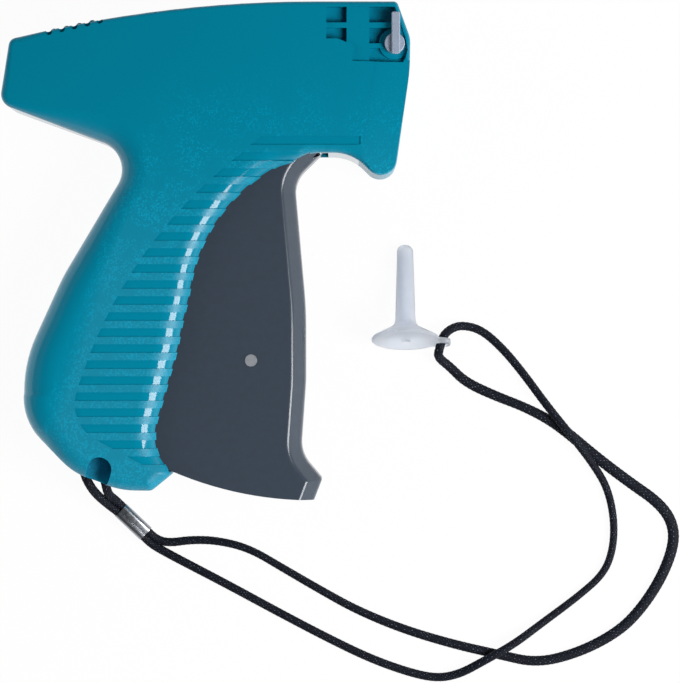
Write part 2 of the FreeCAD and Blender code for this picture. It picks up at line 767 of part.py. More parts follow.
def trigger_spring():
    """Torsion spring on the trigger's sleeve: one leg under the barrel's rib, one inside the trigger's front."""
    wire_radius = 0.4
    coil_radius = trigger_sleeve_radius + wire_radius + 0.05
    turns = 5
    pitch = 2 * wire_radius + 0.12
    low_z = mid_z - turns * pitch / 2
    coils = []
    helix = Part.makeHelix(pitch, turns * pitch, coil_radius)
    profile = Part.Wire(Part.Circle(Vector(coil_radius, 0, 0), Vector(0, 1, 0), wire_radius).toShape())
    coil = Part.Wire(helix).makePipeShell([profile], True, True)
    coil.rotate(Vector(0, 0, 0), UP, 180)
    coil.translate(Vector(trigger_pivot.x, trigger_pivot.y, low_z))
    coils.append(coil)
    start = Vector(trigger_pivot.x - coil_radius, trigger_pivot.y, low_z)
    end = Vector(start.x, start.y, low_z + turns * pitch)
    leg_end = Vector(24.4, 22.9, end.z)
    coils.append(Part.makeCylinder(wire_radius, (leg_end - end).Length, end, leg_end - end))
    coils.append(Part.makeCylinder(wire_radius, 8.0, start, Vector(-0.35, 1, 0)))
    gap = spring_stop.distanceToLine(flat(start), Vector(-0.35, 1, 0)) - spring_stop_radius - wire_radius
    print("spring leg to stop %.3f" % gap)
    return one_solid(joined(coils))


# ---- The head ----
def needle_seat():
    half_height = seat_height / 2
    low_z = mid_z - seat_depth / 2
    block = box(seat_back_x, seat_front_x, needle_axis_y - half_height, needle_axis_y + half_height, low_z, seat_top_z)
    lock = Vector(lock_x, lock_y, 0)
    bores = [
        rod_x(needle_axis_y, mid_z, socket_radius, seat_front_x - socket_depth, seat_front_x + 1),
        rod_x(needle_axis_y, mid_z, rod_hole_radius, seat_back_x - 1, seat_front_x),
        rod(lock, lock_shaft_radius + 0.3, seat_top_z - 1.2, seat_top_z + 1),
        box(seat_back_x - 1, seat_front_x + 1, needle_axis_y - 0.6, needle_axis_y + 0.6, low_z - 1, mid_z),
    ]
    return one_solid(block.cut(bores))


def clip_guide():
    half_channel = channel_width / 2
    low_z = mid_z - guide_depth / 2
    block = box(guide_back_x, guide_front_x, guide_low_y, guide_high_y, low_z, guide_top_z)
    window = feed_tip_radius + 0.4
    bores = [
        box(
            channel_mid_x - half_channel,
            channel_mid_x + half_channel,
            guide_low_y - 1,
            guide_high_y + 1,
            mid_z - channel_depth / 2,
            mid_z + channel_depth / 2,
        ),
        box(channel_mid_x - 1.1, channel_mid_x + 1.1, guide_low_y - 1, guide_high_y + 1, low_z - 1, mid_z),
        rod_x(needle_axis_y, mid_z, rod_hole_radius, guide_back_x - 1, guide_front_x + 1),
        box(
            channel_mid_x - half_channel,
            channel_mid_x + half_channel,
            feed_axis_y - window,
            feed_axis_y + window,
            mid_z,
            guide_top_z + 1,
        ),
    ]
    return one_solid(block.cut(bores))


def wheel_point(radius, degrees, x):
    angle = math.radians(degrees)
    return Vector(x, feed_axis_y + radius * math.cos(angle), feed_axis_z + radius * math.sin(angle))


def feed_wheel():
    """Toothed wheel whose gaps stand at every step of 360 / feed_teeth degrees."""
    step = 360.0 / feed_teeth
    back = channel_mid_x - feed_wheel_width / 2
    points = []
    for index in range(feed_teeth):
        middle = index * step
        for degrees, radius in (
            (middle - step * 0.12, feed_root_radius),
            (middle + step * 0.12, feed_root_radius),
            (middle + step * 0.40, feed_tip_radius),
            (middle + step * 0.60, feed_tip_radius),
        ):
            points.append(wheel_point(radius, degrees, back))
    face = Part.Face(Part.makePolygon(points + points[:1]))
    disc = face.extrude(Vector(feed_wheel_width, 0, 0))
    bore = rod_x(feed_axis_y, feed_axis_z, feed_axle_radius + turning_play, back - 1, back + feed_wheel_width + 1)
    return one_solid(disc.cut(bore))


def block_along_x(points, x0, x1):
    """A block whose outline in the Y-Z plane is given, from x0 to x1."""
    corners = [Vector(x0, y, z) for y, z in points]
    return Part.Face(Part.makePolygon(corners + corners[:1])).extrude(Vector(x1 - x0, 0, 0))


def feed_pawl():
    """A rocking pawl that hangs beside the wheel, with its nose in one of the wheel's gaps."""
    y, z = pawl_pivot_y, pawl_pivot_z
    nose_y = feed_axis_y - feed_root_radius - 0.35
    clear_y = feed_axis_y - feed_tip_radius - 0.15
    outline = [
        (y - 1.2, z + 1.3),
        (clear_y, z + 1.3),
        (clear_y, feed_axis_z + 1.0),
        (nose_y, feed_axis_z + 0.2),
        (nose_y, feed_axis_z - 0.2),
        (clear_y, feed_axis_z - 0.6),
        (y - 0.4, feed_axis_z - 0.6),
        (y - 1.2, feed_axis_z + 1.5),
    ]
    arm = block_along_x(outline, channel_mid_x - 1.2, channel_mid_x + 1.2)
    stub = rod_x(y, z, pawl_pin_radius, 41.4, 49.0)
    return one_solid(joined([arm, stub]))


def detent_spring():
    """A leaf fixed under the side wall, with its tip in one of the wheel's gaps."""
    tip = wheel_point(feed_root_radius + 0.3, 30, 0)
    gauge = 0.3
    top_z = side_z - 0.02
    foot = [(tip.y + 1.4, top_z), (tip.y + 3.6, top_z), (tip.y + 3.6, top_z - gauge), (tip.y + 1.5, top_z - gauge)]
    leaf = foot + [(tip.y + 0.25, tip.z), (tip.y - 0.05, tip.z)]
    return one_solid(block_along_x(leaf, channel_mid_x - 1.0, channel_mid_x + 1.0))


def needle_lock_lever():
    """Disc, arm and shaft of the lock, with an off-centre nib that holds the needle's base."""
    lock = Vector(lock_x, lock_y, 0)
    low = body_thickness - 1.2
    disc_top = low + lock_height
    disc = rod(lock, lock_disc_radius, low, disc_top)
    shaft = rod(lock, lock_shaft_radius, head_block_z - 0.1, low + 0.1)
    nib = rod(lock + Vector(-1.1, 0, 0), 0.8, seat_top_z - 1.0, head_block_z)
    half = lock_arm_width / 2
    arm_x = lock_x + 0.3
    arm_top_z = disc_top + 1.3
    arm = box(arm_x - half, arm_x + half, lock_arm_bottom, lock_arm_top, disc_top - 0.2, arm_top_z)
    arm = arm.common(
        joined([rod(Vector(arm_x, lock_arm_bottom + 3.4, 0), 3.4, 0, 40), box(0, 90, lock_arm_bottom + 3.4, 90, 0, 40)])
    )
    uprights = [e for e in arm.Edges if e.Length < 2 and abs(e.CenterOfMass.y - lock_arm_top) < 0.01]
    uprights = [e for e in uprights if abs(e.Vertexes[0].Point.z - e.Vertexes[1].Point.z) > 1]
    arm = arm.makeFillet(0.5, uprights)
    upper = [e for e in arm.Edges if e.CenterOfMass.z > arm_top_z - 0.01]
    arm = arm.makeFillet(0.35, upper)
    rim = [e for e in disc.Edges if e.CenterOfMass.z > disc_top - 0.01 and e.Closed]
    disc = disc.makeFillet(0.3, rim[:1])
    return one_solid(joined([disc, shaft, nib, arm]))


# ---- Fasteners and the heel ----
def screw_at(place):
    tip_z = screw_head_z + screw_length
    head = rod(place, screw_head_radius, screw_head_z, screw_head_z + screw_head_height)
    shank = rod(place, screw_radius, screw_head_z, tip_z - 1.5)
    point = Part.makeCone(screw_radius, 0.5, 1.5, Vector(place.x, place.y, tip_z - 1.5), UP)
    slot = 0.4
    depth = screw_head_z + 1.0
    cross = [
        box(place.x - 1.7, place.x + 1.7, place.y - slot, place.y + slot, screw_head_z - 1, depth),
        box(place.x - slot, place.x + slot, place.y - 1.7, place.y + 1.7, screw_head_z - 1, depth),
    ]
    return one_solid(joined([head, shank, point]).cut(cross))


# ---- Cap, ferrule and cord ----
def cap_lean():
    """How far the lying cap's axis leans, so that its flange's rim and its tip both touch the surface."""
    across = cap_flange_radius - (cap_tip_radius - cap_tip_rounding)
    along = cap_length - cap_tip_rounding - cap_rim_height
    both = math.hypot(across, along)
    return math.acos(cap_tip_rounding / both) - math.atan2(along, across)


def needle_cap():
    """Hollow needle guard: a closed tube, a conical flange and a side ear with an eye for the cord."""
    tip_x = cap_tip_radius - cap_tip_rounding
    tip_z = cap_length - cap_tip_rounding
    slant = cap_tip_rounding * math.sin(math.pi / 4)
    tip_arc = Part.Arc(
        Vector(cap_tip_radius, 0, tip_z),
        Vector(tip_x + slant, 0, tip_z + slant),
        Vector(tip_x, 0, cap_length),
    )
    points = [
        Vector(tip_x, 0, cap_length),
        Vector(0, 0, cap_length),
        Vector(0, 0, cap_bore_depth),
        Vector(cap_bore_radius, 0, cap_bore_depth - 0.6),
        Vector(cap_bore_radius, 0, 0),
        Vector(cap_flange_radius - 0.3, 0, 0),
        Vector(cap_flange_radius, 0, 0.3),
        Vector(cap_flange_radius, 0, cap_rim_height),
        Vector(cap_flange_radius - 0.4, 0, cap_rim_height + 0.4),
        Vector(cap_base_radius + 1.2, 0, 4.3),
        Vector(cap_base_radius + 0.25, 0, 5.4),
        Vector(cap_base_radius, 0, 6.6),
        Vector(cap_tip_radius, 0, tip_z),
    ]
    edges = [Part.LineSegment(a, b).toShape() for a, b in zip(points, points[1:])]
    wire = Part.Wire(edges + [tip_arc.toShape()])
    body = Part.Face(wire).revolve(Vector(0, 0, 0), UP, 360)
    turn = math.radians(cap_eye_turn)
    eye = Vector(cap_eye_distance * math.cos(turn), cap_eye_distance * math.sin(turn), 0)
    ear = straight_bar(Vector(eye.x * 0.5, eye.y * 0.5, 0), eye, 2.95, 0, 1.5)
    solid = joined([Part.Solid(body.Solids[0]), ear])
    bore = rod(Vector(0, 0, 0), cap_bore_radius, -1, cap_bore_depth - 0.6)
    solid = one_solid(solid.cut([rod(eye, cap_eye_radius, -1, 3.0), bore]))
    lean = cap_lean()
    s, c = math.sin(lean), math.cos(lean)
    lift = cap_flange_radius * c + cap_rim_height * s + 0.02
    solid.Placement = FreeCAD.Placement(
        FreeCAD.Matrix(1, 0, 0, cap_x, 0, -s, c, cap_y, 0, -c, -s, lift, 0, 0, 0, 1)
    )
    return solid


def cord_ferrule():
    """Crimped oval sleeve round both strands."""
    axis = ferrule_end - ferrule_start
    length = axis.Length
    block = Part.makeBox(length, ferrule_width, ferrule_height, Vector(0, -ferrule_width / 2, -ferrule_height / 2))
    block = block.makeFillet(1.45, [e for e in block.Edges if abs(e.Length - length) < 1e-3])
    heading = math.degrees(math.atan2(axis.y, axis.x))
    dip = math.degrees(math.asin(-axis.z / length))
    block.rotate(Vector(0, 0, 0), Vector(0, 1, 0), dip)
    block.rotate(Vector(0, 0, 0), UP, heading)
    block.translate(ferrule_start)
    return one_solid(block)


ferrule_axis = (ferrule_end - ferrule_start).normalize()
strand_across = Vector(-ferrule_axis.y, ferrule_axis.x, 0).normalize() * (cord_diameter / 2 + 0.01)


def ferrule_point(face, side, lead):
    """A point on one strand's line: on the ferrule's face, or lead beyond it."""
    return tuple(face + strand_across * side + ferrule_axis * lead)


# Each crossing is a long low hump of the strand that lies on top.
CORD_ROUTE = [
    ferrule_point(ferrule_end, 1, 0),
    ferrule_point(ferrule_end, 1, 3.8),
    (-12.2, -88.0, 1.35),
    (-5.0, -87.0, 1.35),
    (3.0, -87.3, 1.35),
    (12.5, -89.7, 1.35),
    (23.0, -95.9, 1.35),
    (34.0, -102.3, 1.35),
    (45.0, -108.4, 1.35),
    (59.0, -114.2, 1.35),
    (74.0, -118.7, 1.35),
    (88.0, -121.9, 1.35),
    (100.0, -124.6, 1.35),
    (113.0, -121.2, 1.35),
    (124.7, -115.0, 1.35),
    (131.8, -107.8, 1.35),
    (138.2, -97.8, 1.35),
    (141.8, -87.6, 1.35),
    (140.7, -80.7, 1.35),
    (136.2, -75.2, 1.35),
    (128.5, -69.9, 1.35),
    (118.0, -62.0, 1.35),
    (106.5, -52.2, 1.35),
    (97.0, -47.0, 1.35),
    (86.5, -43.0, 1.35),
    (78.0, -39.0, 1.35),
    (73.4, -34.4, 1.8),
    (69.5, -31.4, 4.0),
    (70.1, -28.7, 6.7),
    (71.05, -25.2, 5.4),
    (73.4, -22.9, 3.0),
    (77.0, -21.7, 1.6),
    (83.0, -23.1, 1.35),
    (89.8, -29.2, 1.35),
    (96.2, -37.1, 1.9),
    (103.0, -46.6, 4.1),
    (110.8, -56.1, 4.1),
    (117.1, -64.2, 1.9),
    (121.4, -71.4, 1.35),
    (123.4, -81.0, 1.35),
    (123.0, -90.0, 1.35),
    (120.2, -97.4, 1.35),
    (112.2, -104.4, 1.35),
    (101.8, -112.0, 1.9),
    (92.5, -118.7, 4.1),
    (83.4, -123.7, 4.1),
    (76.4, -127.8, 1.9),
    (69.5, -129.2, 1.35),
    (61.0, -127.4, 1.35),
    (49.0, -123.1, 1.35),
    (35.8, -116.7, 1.35),
    (21.5, -109.2, 1.35),
    (6.0, -100.8, 1.35),
    (-6.5, -94.3, 1.35),
    (-13.5, -90.9, 1.35),
    ferrule_point(ferrule_end, -1, 3.8),
    ferrule_point(ferrule_end, -1, 0),
]
HEEL_LOOP_ROUTE = [
    ferrule_point(ferrule_start, -1, 0),
    ferrule_point(ferrule_start, -1, -4.2),
    (-33.9, -72.3, 10.4),
    (-35.9, -68.7, 13.2),
    (-36.85, -66.0, mid_z),
    (-36.85, -60.5, mid_z),
    (-31.15, -60.5, mid_z),
    (-31.15, -65.9, mid_z),
    (-30.4, -69.9, 12.6),
    (-29.9, -72.9, 9.4),
    ferrule_point(ferrule_start, 1, -3.2),
    ferrule_point(ferrule_start, 1, 0),
]


def cord_tube(name, route):
    """A round tube along straight runs joined by tangent arcs."""
    points = [Vector(*p) for p in route]
    edges = []
    start = points[0]
    radii = []
    for before, here, after in zip(points, points[1:], points[2:]):
        back = before - here
        ahead = after - here
        reach = 0.45 * min(back.Length, ahead.Length)
        back.normalize()
        ahead.normalize()
        half_angle = back.getAngle(ahead) / 2
        radius = reach * math.tan(half_angle)
        towards = (back + ahead).normalize()
        arc_start = here + back * reach
        arc_end = here + ahead * reach
        middle = here + towards * (radius / math.sin(half_angle) - radius)
        edges.append(Part.LineSegment(start, arc_start).toShape())
        edges.append(Part.Arc(arc_start, middle, arc_end).toShape())
        start = arc_end
        radii.append(radius)
    edges.append(Part.LineSegment(start, points[-1]).toShape())
    path = Part.Wire(edges)
    section = Part.Wire(Part.Circle(points[0], points[1] - points[0], cord_diameter / 2).toShape())
    tube = path.makePipeShell([section], True, False)
    solid = Part.Solid(tube.Solids[0] if tube.Solids else tube)
    expected = math.pi * cord_diameter**2 / 4 * path.Length
    print(name, "length %.1f" % path.Length, "volume share %.4f" % (solid.Volume / expected))
    print(name, "radii", " ".join("%.1f" % r for r in radii))
    return solid


# ---- The nodes ----
def nodes():
    low_z = body_thickness - trigger_top_z
    slide_pin = Vector(drive_pin_x, needle_axis_y, 0)
    post_half = 3.8
    return {
        "housing_right": right_shell(),
        "housing_left": left_shell(),
        "trigger": trigger(),
        "trigger_pivot_pin": rod(trigger_pivot, pivot_pin_radius, wall + 0.2, side_z - 0.2),
        "trigger_link_pin": rod(link_pin, link_pin_radius, low_z - 0.1, trigger_top_z + 0.1),
        "trigger_spring": trigger_spring(),
        "drive_lever": drive_lever(),
        "lever_pivot_pin": rod(lever_pivot, lever_pin_radius, body_thickness - bracket_out_z - 0.3, bracket_out_z + 0.3),
        "lever_bracket": lever_bracket(),
        "ejector_slide": ejector_slide(),
        "slide_drive_pin": rod(slide_pin, drive_pin_radius, mid_z - slide_width / 2, mid_z + slide_width / 2),
        "ejector_rod": rod_x(needle_axis_y, mid_z, rod_radius, drive_pin_x + 9.0, rod_tip_x),
        "needle_seat": needle_seat(),
        "knife_blade": box(guide_front_x + 0.1, seat_back_x - 0.1, needle_axis_y - 4, needle_axis_y - 0.9, 10.5, 17.5),
        "clip_guide": clip_guide(),
        "feed_wheel": feed_wheel(),
        "feed_wheel_axle": rod_x(feed_axis_y, feed_axis_z, feed_axle_radius, 41.1, 49.1),
        "feed_pawl": feed_pawl(),
        "detent_spring": detent_spring(),
        "needle_lock_lever": needle_lock_lever(),
        "lanyard_post": rod(post, post_radius, mid_z - post_half, mid_z + post_half),
        "housing_screws": Part.makeCompound([screw_at(place) for place in SCREWS + BRACKET_SCREWS]),
        "needle_cap": needle_cap(),
        "cord_ferrule": cord_ferrule(),
        "lanyard_cord": cord_tube("lanyard_cord", CORD_ROUTE),
        "lanyard_heel_loop": cord_tube("lanyard_heel_loop", HEEL_LOOP_ROUTE),
    }


for node_name, shape in nodes().items():
    shape.exportStep("parts/" + node_name + ".step")
    print(node_name, "solids", len(shape.Solids), "valid", shape.isValid(), "volume %.1f" % shape.Volume)
print("lever swing %.3f ratio %.4f" % (lever_swing, lever_ratio))
print("slide travel %.3f from x %.3f" % (slide_travel, drive_pin_x))
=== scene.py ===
"""Garment tag attacher: looks and loose pieces built round the tool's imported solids."""

import math

import bmesh
import bpy
import numpy as np
from bpy.props import FloatProperty, FloatVectorProperty, IntProperty, PointerProperty
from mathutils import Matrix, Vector


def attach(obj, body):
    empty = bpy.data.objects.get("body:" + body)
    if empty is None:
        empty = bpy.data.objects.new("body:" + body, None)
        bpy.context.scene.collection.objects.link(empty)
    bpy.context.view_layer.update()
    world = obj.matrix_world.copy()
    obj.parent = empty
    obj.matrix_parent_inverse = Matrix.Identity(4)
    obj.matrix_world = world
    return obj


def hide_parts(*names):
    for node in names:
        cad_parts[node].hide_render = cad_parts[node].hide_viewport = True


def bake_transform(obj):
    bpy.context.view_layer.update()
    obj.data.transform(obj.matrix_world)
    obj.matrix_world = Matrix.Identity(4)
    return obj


bl_info = {
    "name": "Garment tag attacher",
    "version": (1, 0, 0),
    "blender": (4, 5, 0),
    "location": "View3D > Sidebar > Tag attacher",
    "description": "Builds the pieces, finishes and stage of a pistol-grip garment tag attacher",
    "category": "Object",
}

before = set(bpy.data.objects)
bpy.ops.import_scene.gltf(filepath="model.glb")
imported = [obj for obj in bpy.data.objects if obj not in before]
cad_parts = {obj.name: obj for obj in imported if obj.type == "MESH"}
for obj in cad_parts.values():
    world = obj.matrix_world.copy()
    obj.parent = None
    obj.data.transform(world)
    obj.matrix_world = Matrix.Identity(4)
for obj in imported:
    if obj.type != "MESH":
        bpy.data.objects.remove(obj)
MM = 0.001


def linear(hex_colour):
    """An sRGB hex colour as the linear red, green and blue that shaders take."""
    found = []
    for start in (1, 3, 5):
        value = int(hex_colour[start:start + 2], 16) / 255
        found.append(value / 12.92 if value <= 0.04045 else ((value + 0.055) / 1.055) ** 2.4)
    return tuple(found)


def colour_setting(name, hex_colour, description):
    """A colour that a user can change, kept in linear values."""
    return FloatVectorProperty(
        name=name, description=description, default=linear(hex_colour), subtype="COLOR", min=0.0, max=1.0
    )


class FinishSettings(bpy.types.PropertyGroup):
    """Colours of the materials that the tool is made of."""

    housing: colour_setting("Housing", "#00809C", "Moulded ABS of both half shells")
    trigger: colour_setting("Trigger", "#3C4652", "Moulded ABS of the trigger")
    cap: colour_setting("Needle cap", "#E9EEF7", "Milky polyethylene of the needle cap")
    nylon: colour_setting("Nylon", "#E9E9EC", "Undyed nylon of the feed works, the slide and the needle's seat")
    acetal: colour_setting("Acetal", "#9AA6B8", "Pale acetal of the needle lock lever")
    steel: colour_setting("Steel", "#B9BDC4", "Ground steel of pins and wire")
    cord: colour_setting("Cord", "#10131E", "Spun polyester of the lanyard's braid")
    # Painted highlight: a paler colour painted on the braid's strand crowns.
    crown_glint: colour_setting("Cord fibre ends", "#6C7180", "Ends of fibres that catch the light on the braid")


class CordSettings(bpy.types.PropertyGroup):
    """Sizes of the lanyard's hollow braid."""

    strand_pitch: FloatProperty(
        name="Strand pitch", description="Length along the cord in which a strand crosses to the next place",
        default=0.72 * MM, min=0.2 * MM, max=10 * MM, unit="LENGTH", precision=5,
    )
    strand_relief: FloatProperty(
        name="Strand relief", description="Height of a strand above the groove beside it",
        default=0.11 * MM, min=0.0, max=1 * MM, unit="LENGTH", precision=5,
    )
    strands_round: IntProperty(
        name="Strands round", description="Strands of one hand round the braid, an even number",
        default=8, min=2, max=16,
    )
    ring_step: FloatProperty(
        name="Ring step", description="Distance along the cord between two rings of the mesh",
        default=0.24 * MM, min=0.1 * MM, max=2 * MM, unit="LENGTH", precision=5,
    )


class StageSettings(bpy.types.PropertyGroup):
    """Camera, lamps and floor."""

    camera_height: FloatProperty(
        name="Camera height", description="Height of the camera above the floor",
        default=0.914, min=0.2, max=5.0, unit="LENGTH",
    )
    view_height: FloatProperty(
        name="View height", description="Height of the view in the plane half way up the tool",
        default=204.9 * MM, min=0.05, max=1.0, unit="LENGTH",
    )
    key_power: FloatProperty(
        name="Key lamp", description="Power of the lamp on the trigger's side", default=5.9, min=0.0, unit="POWER",
    )
    fill_power: FloatProperty(
        name="Fill lamp", description="Power of the low lamp behind the tool", default=2.2, min=0.0, unit="POWER",
    )
    horizon_strength: FloatProperty(
        name="Horizon", description="Strength of the light that comes in level from all round", default=1.1, min=0.0,
    )
    zenith_strength: FloatProperty(
        name="Zenith", description="Strength of the light from straight above", default=0.03, min=0.0,
    )
    floor: colour_setting("Floor", "#F4F4F4", "Paper that the tool lies on")


# ---------------------------------------------------------------- materials

WHITE = (1.0, 1.0, 1.0, 1.0)


def add_node(tree, kind, settings=None, links=None):
    """Adds a node, gives its inputs their values, and links its inputs from other nodes' sockets."""
    node = tree.nodes.new(kind)
    for name, value in (settings or {}).items():
        if isinstance(name, int) or name in node.inputs:
            node.inputs[name].default_value = value
        else:
            setattr(node, name, value)
    for name, socket in (links or {}).items():
        tree.links.new(socket, node.inputs[name])
    return node


def shade(colour, times):
    """A darker or lighter shade of a colour."""
    return tuple(c * times for c in colour)


def rgba(colour, times=1.0):
    """A colour with full alpha, made lighter or darker."""
    return tuple(min(1.0, c) for c in shade(colour, times)) + (1.0,)


def new_material(name):
    """An empty node material and its output node."""
    material = bpy.data.materials.new(name)
    material.use_nodes = True
    material.node_tree.nodes.clear()
    return material, add_node(material.node_tree, "ShaderNodeOutputMaterial")


def per_mm(size):
    """The scale of a pattern on Object coordinates whose grains are that many millimetres."""
    return 1.0 / (size * MM)


def mottled(tree, place, colour, grain, spread):
    """A colour that wanders a little lighter and darker from place to place."""
    noise = add_node(
        tree, "ShaderNodeTexNoise", {"Scale": per_mm(grain), "Detail": 3.0, "Roughness": 0.6}, {"Vector": place}
    )
    ramp = add_node(tree, "ShaderNodeValToRGB", links={"Fac": noise.outputs["Fac"]})
    ramp.color_ramp.elements[0].position = 0.3
    ramp.color_ramp.elements[0].color = rgba(colour, 1 - spread)
    ramp.color_ramp.elements[1].position = 0.7
    ramp.color_ramp.elements[1].color = rgba(colour, 1 + spread)
    return ramp.outputs["Color"]


# The grip panel's sunk bands, in millimetres: the first one's middle, their spacing, width and number.
BAND_FIRST, BAND_PITCH, BAND_WIDTH, BAND_COUNT = 32.7, 4.73, 2.5, 21

# The panel's other edges, each a direction across the edge and the least reach in it, in millimetres.
PANEL_EDGES = [
    ((0.951, -0.310, 0.0), -25.1), ((0.6413, -0.7673, 0.0), -16.4), ((0.4738, 0.8806, 0.0), -65.3),
    ((-1.0, 0.0, 0.0), -46.1),
]

# The tool's middle plane, and how far from it a band's floor lies at most, in millimetres.
MIDDLE_PLANE, FLOOR_REACH = 14.0, 13.84

# The grain, with its painted sheen and painted glints, fades out behind the panel, between these reaches across its
# back edge, and up the tool, between these heights. All are in millimetres.
GRAIN_AND_GLINT_END, GRAIN_AND_GLINT_START = -31.0, -25.0
SHEEN_AND_GRAIN_NONE_ABOVE, SHEEN_AND_GRAIN_FULL_BELOW = 62.0, -20.0

# The grain's dots, bumps that carry painted glints, are about 0.1 mm on the tool and are drawn coarser, so that
# they show, also in millimetres.
DOT_SIZE, PIT_SIZE, CLOUD_SIZE = 0.5, 0.45, 9.0


def grip_panel(tree, place):
    """The height, the reach across the panel's back edge, and a mask of its bands' floors."""
    axes = add_node(tree, "ShaderNodeSeparateXYZ", links={"Vector": place}).outputs
    shifted = add_node(tree, "ShaderNodeMath", {"operation": "SUBTRACT", 1: BAND_FIRST * MM}, {0: axes["Y"]})
    off_middle = add_node(
        tree, "ShaderNodeMath", {"operation": "PINGPONG", 1: BAND_PITCH / 2 * MM}, {0: shifted.outputs["Value"]}
    )
    in_row = add_node(
        tree, "ShaderNodeMath", {"operation": "LESS_THAN", 1: BAND_WIDTH / 2 * MM}, {0: off_middle.outputs["Value"]}
    )
    half_row = (BAND_COUNT - 1) / 2 * BAND_PITCH
    in_panel = add_node(
        tree, "ShaderNodeMath",
        {"operation": "COMPARE", 1: (BAND_FIRST - half_row) * MM, 2: (half_row + BAND_WIDTH) * MM}, {0: axes["Y"]},
    )
    below_side = add_node(
        tree, "ShaderNodeMath", {"operation": "COMPARE", 1: MIDDLE_PLANE * MM, 2: FLOOR_REACH * MM}, {0: axes["Z"]}
    )
    band = in_panel.outputs["Value"]
    reaches = []
    for across, least in PANEL_EDGES:
        reach = add_node(tree, "ShaderNodeVectorMath", {"operation": "DOT_PRODUCT", 1: across}, {0: place})
        reaches.append(reach.outputs["Value"])
        inside = add_node(tree, "ShaderNodeMath", {"operation": "GREATER_THAN", 1: least * MM}, {0: reaches[-1]})
        band = add_node(
            tree, "ShaderNodeMath", {"operation": "MULTIPLY"}, {0: band, 1: inside.outputs["Value"]}
        ).outputs["Value"]
    for test in (in_row, below_side):
        band = add_node(
            tree, "ShaderNodeMath", {"operation": "MULTIPLY"}, {0: band, 1: test.outputs["Value"]}
        ).outputs["Value"]
    return axes["Y"], reaches[0], band


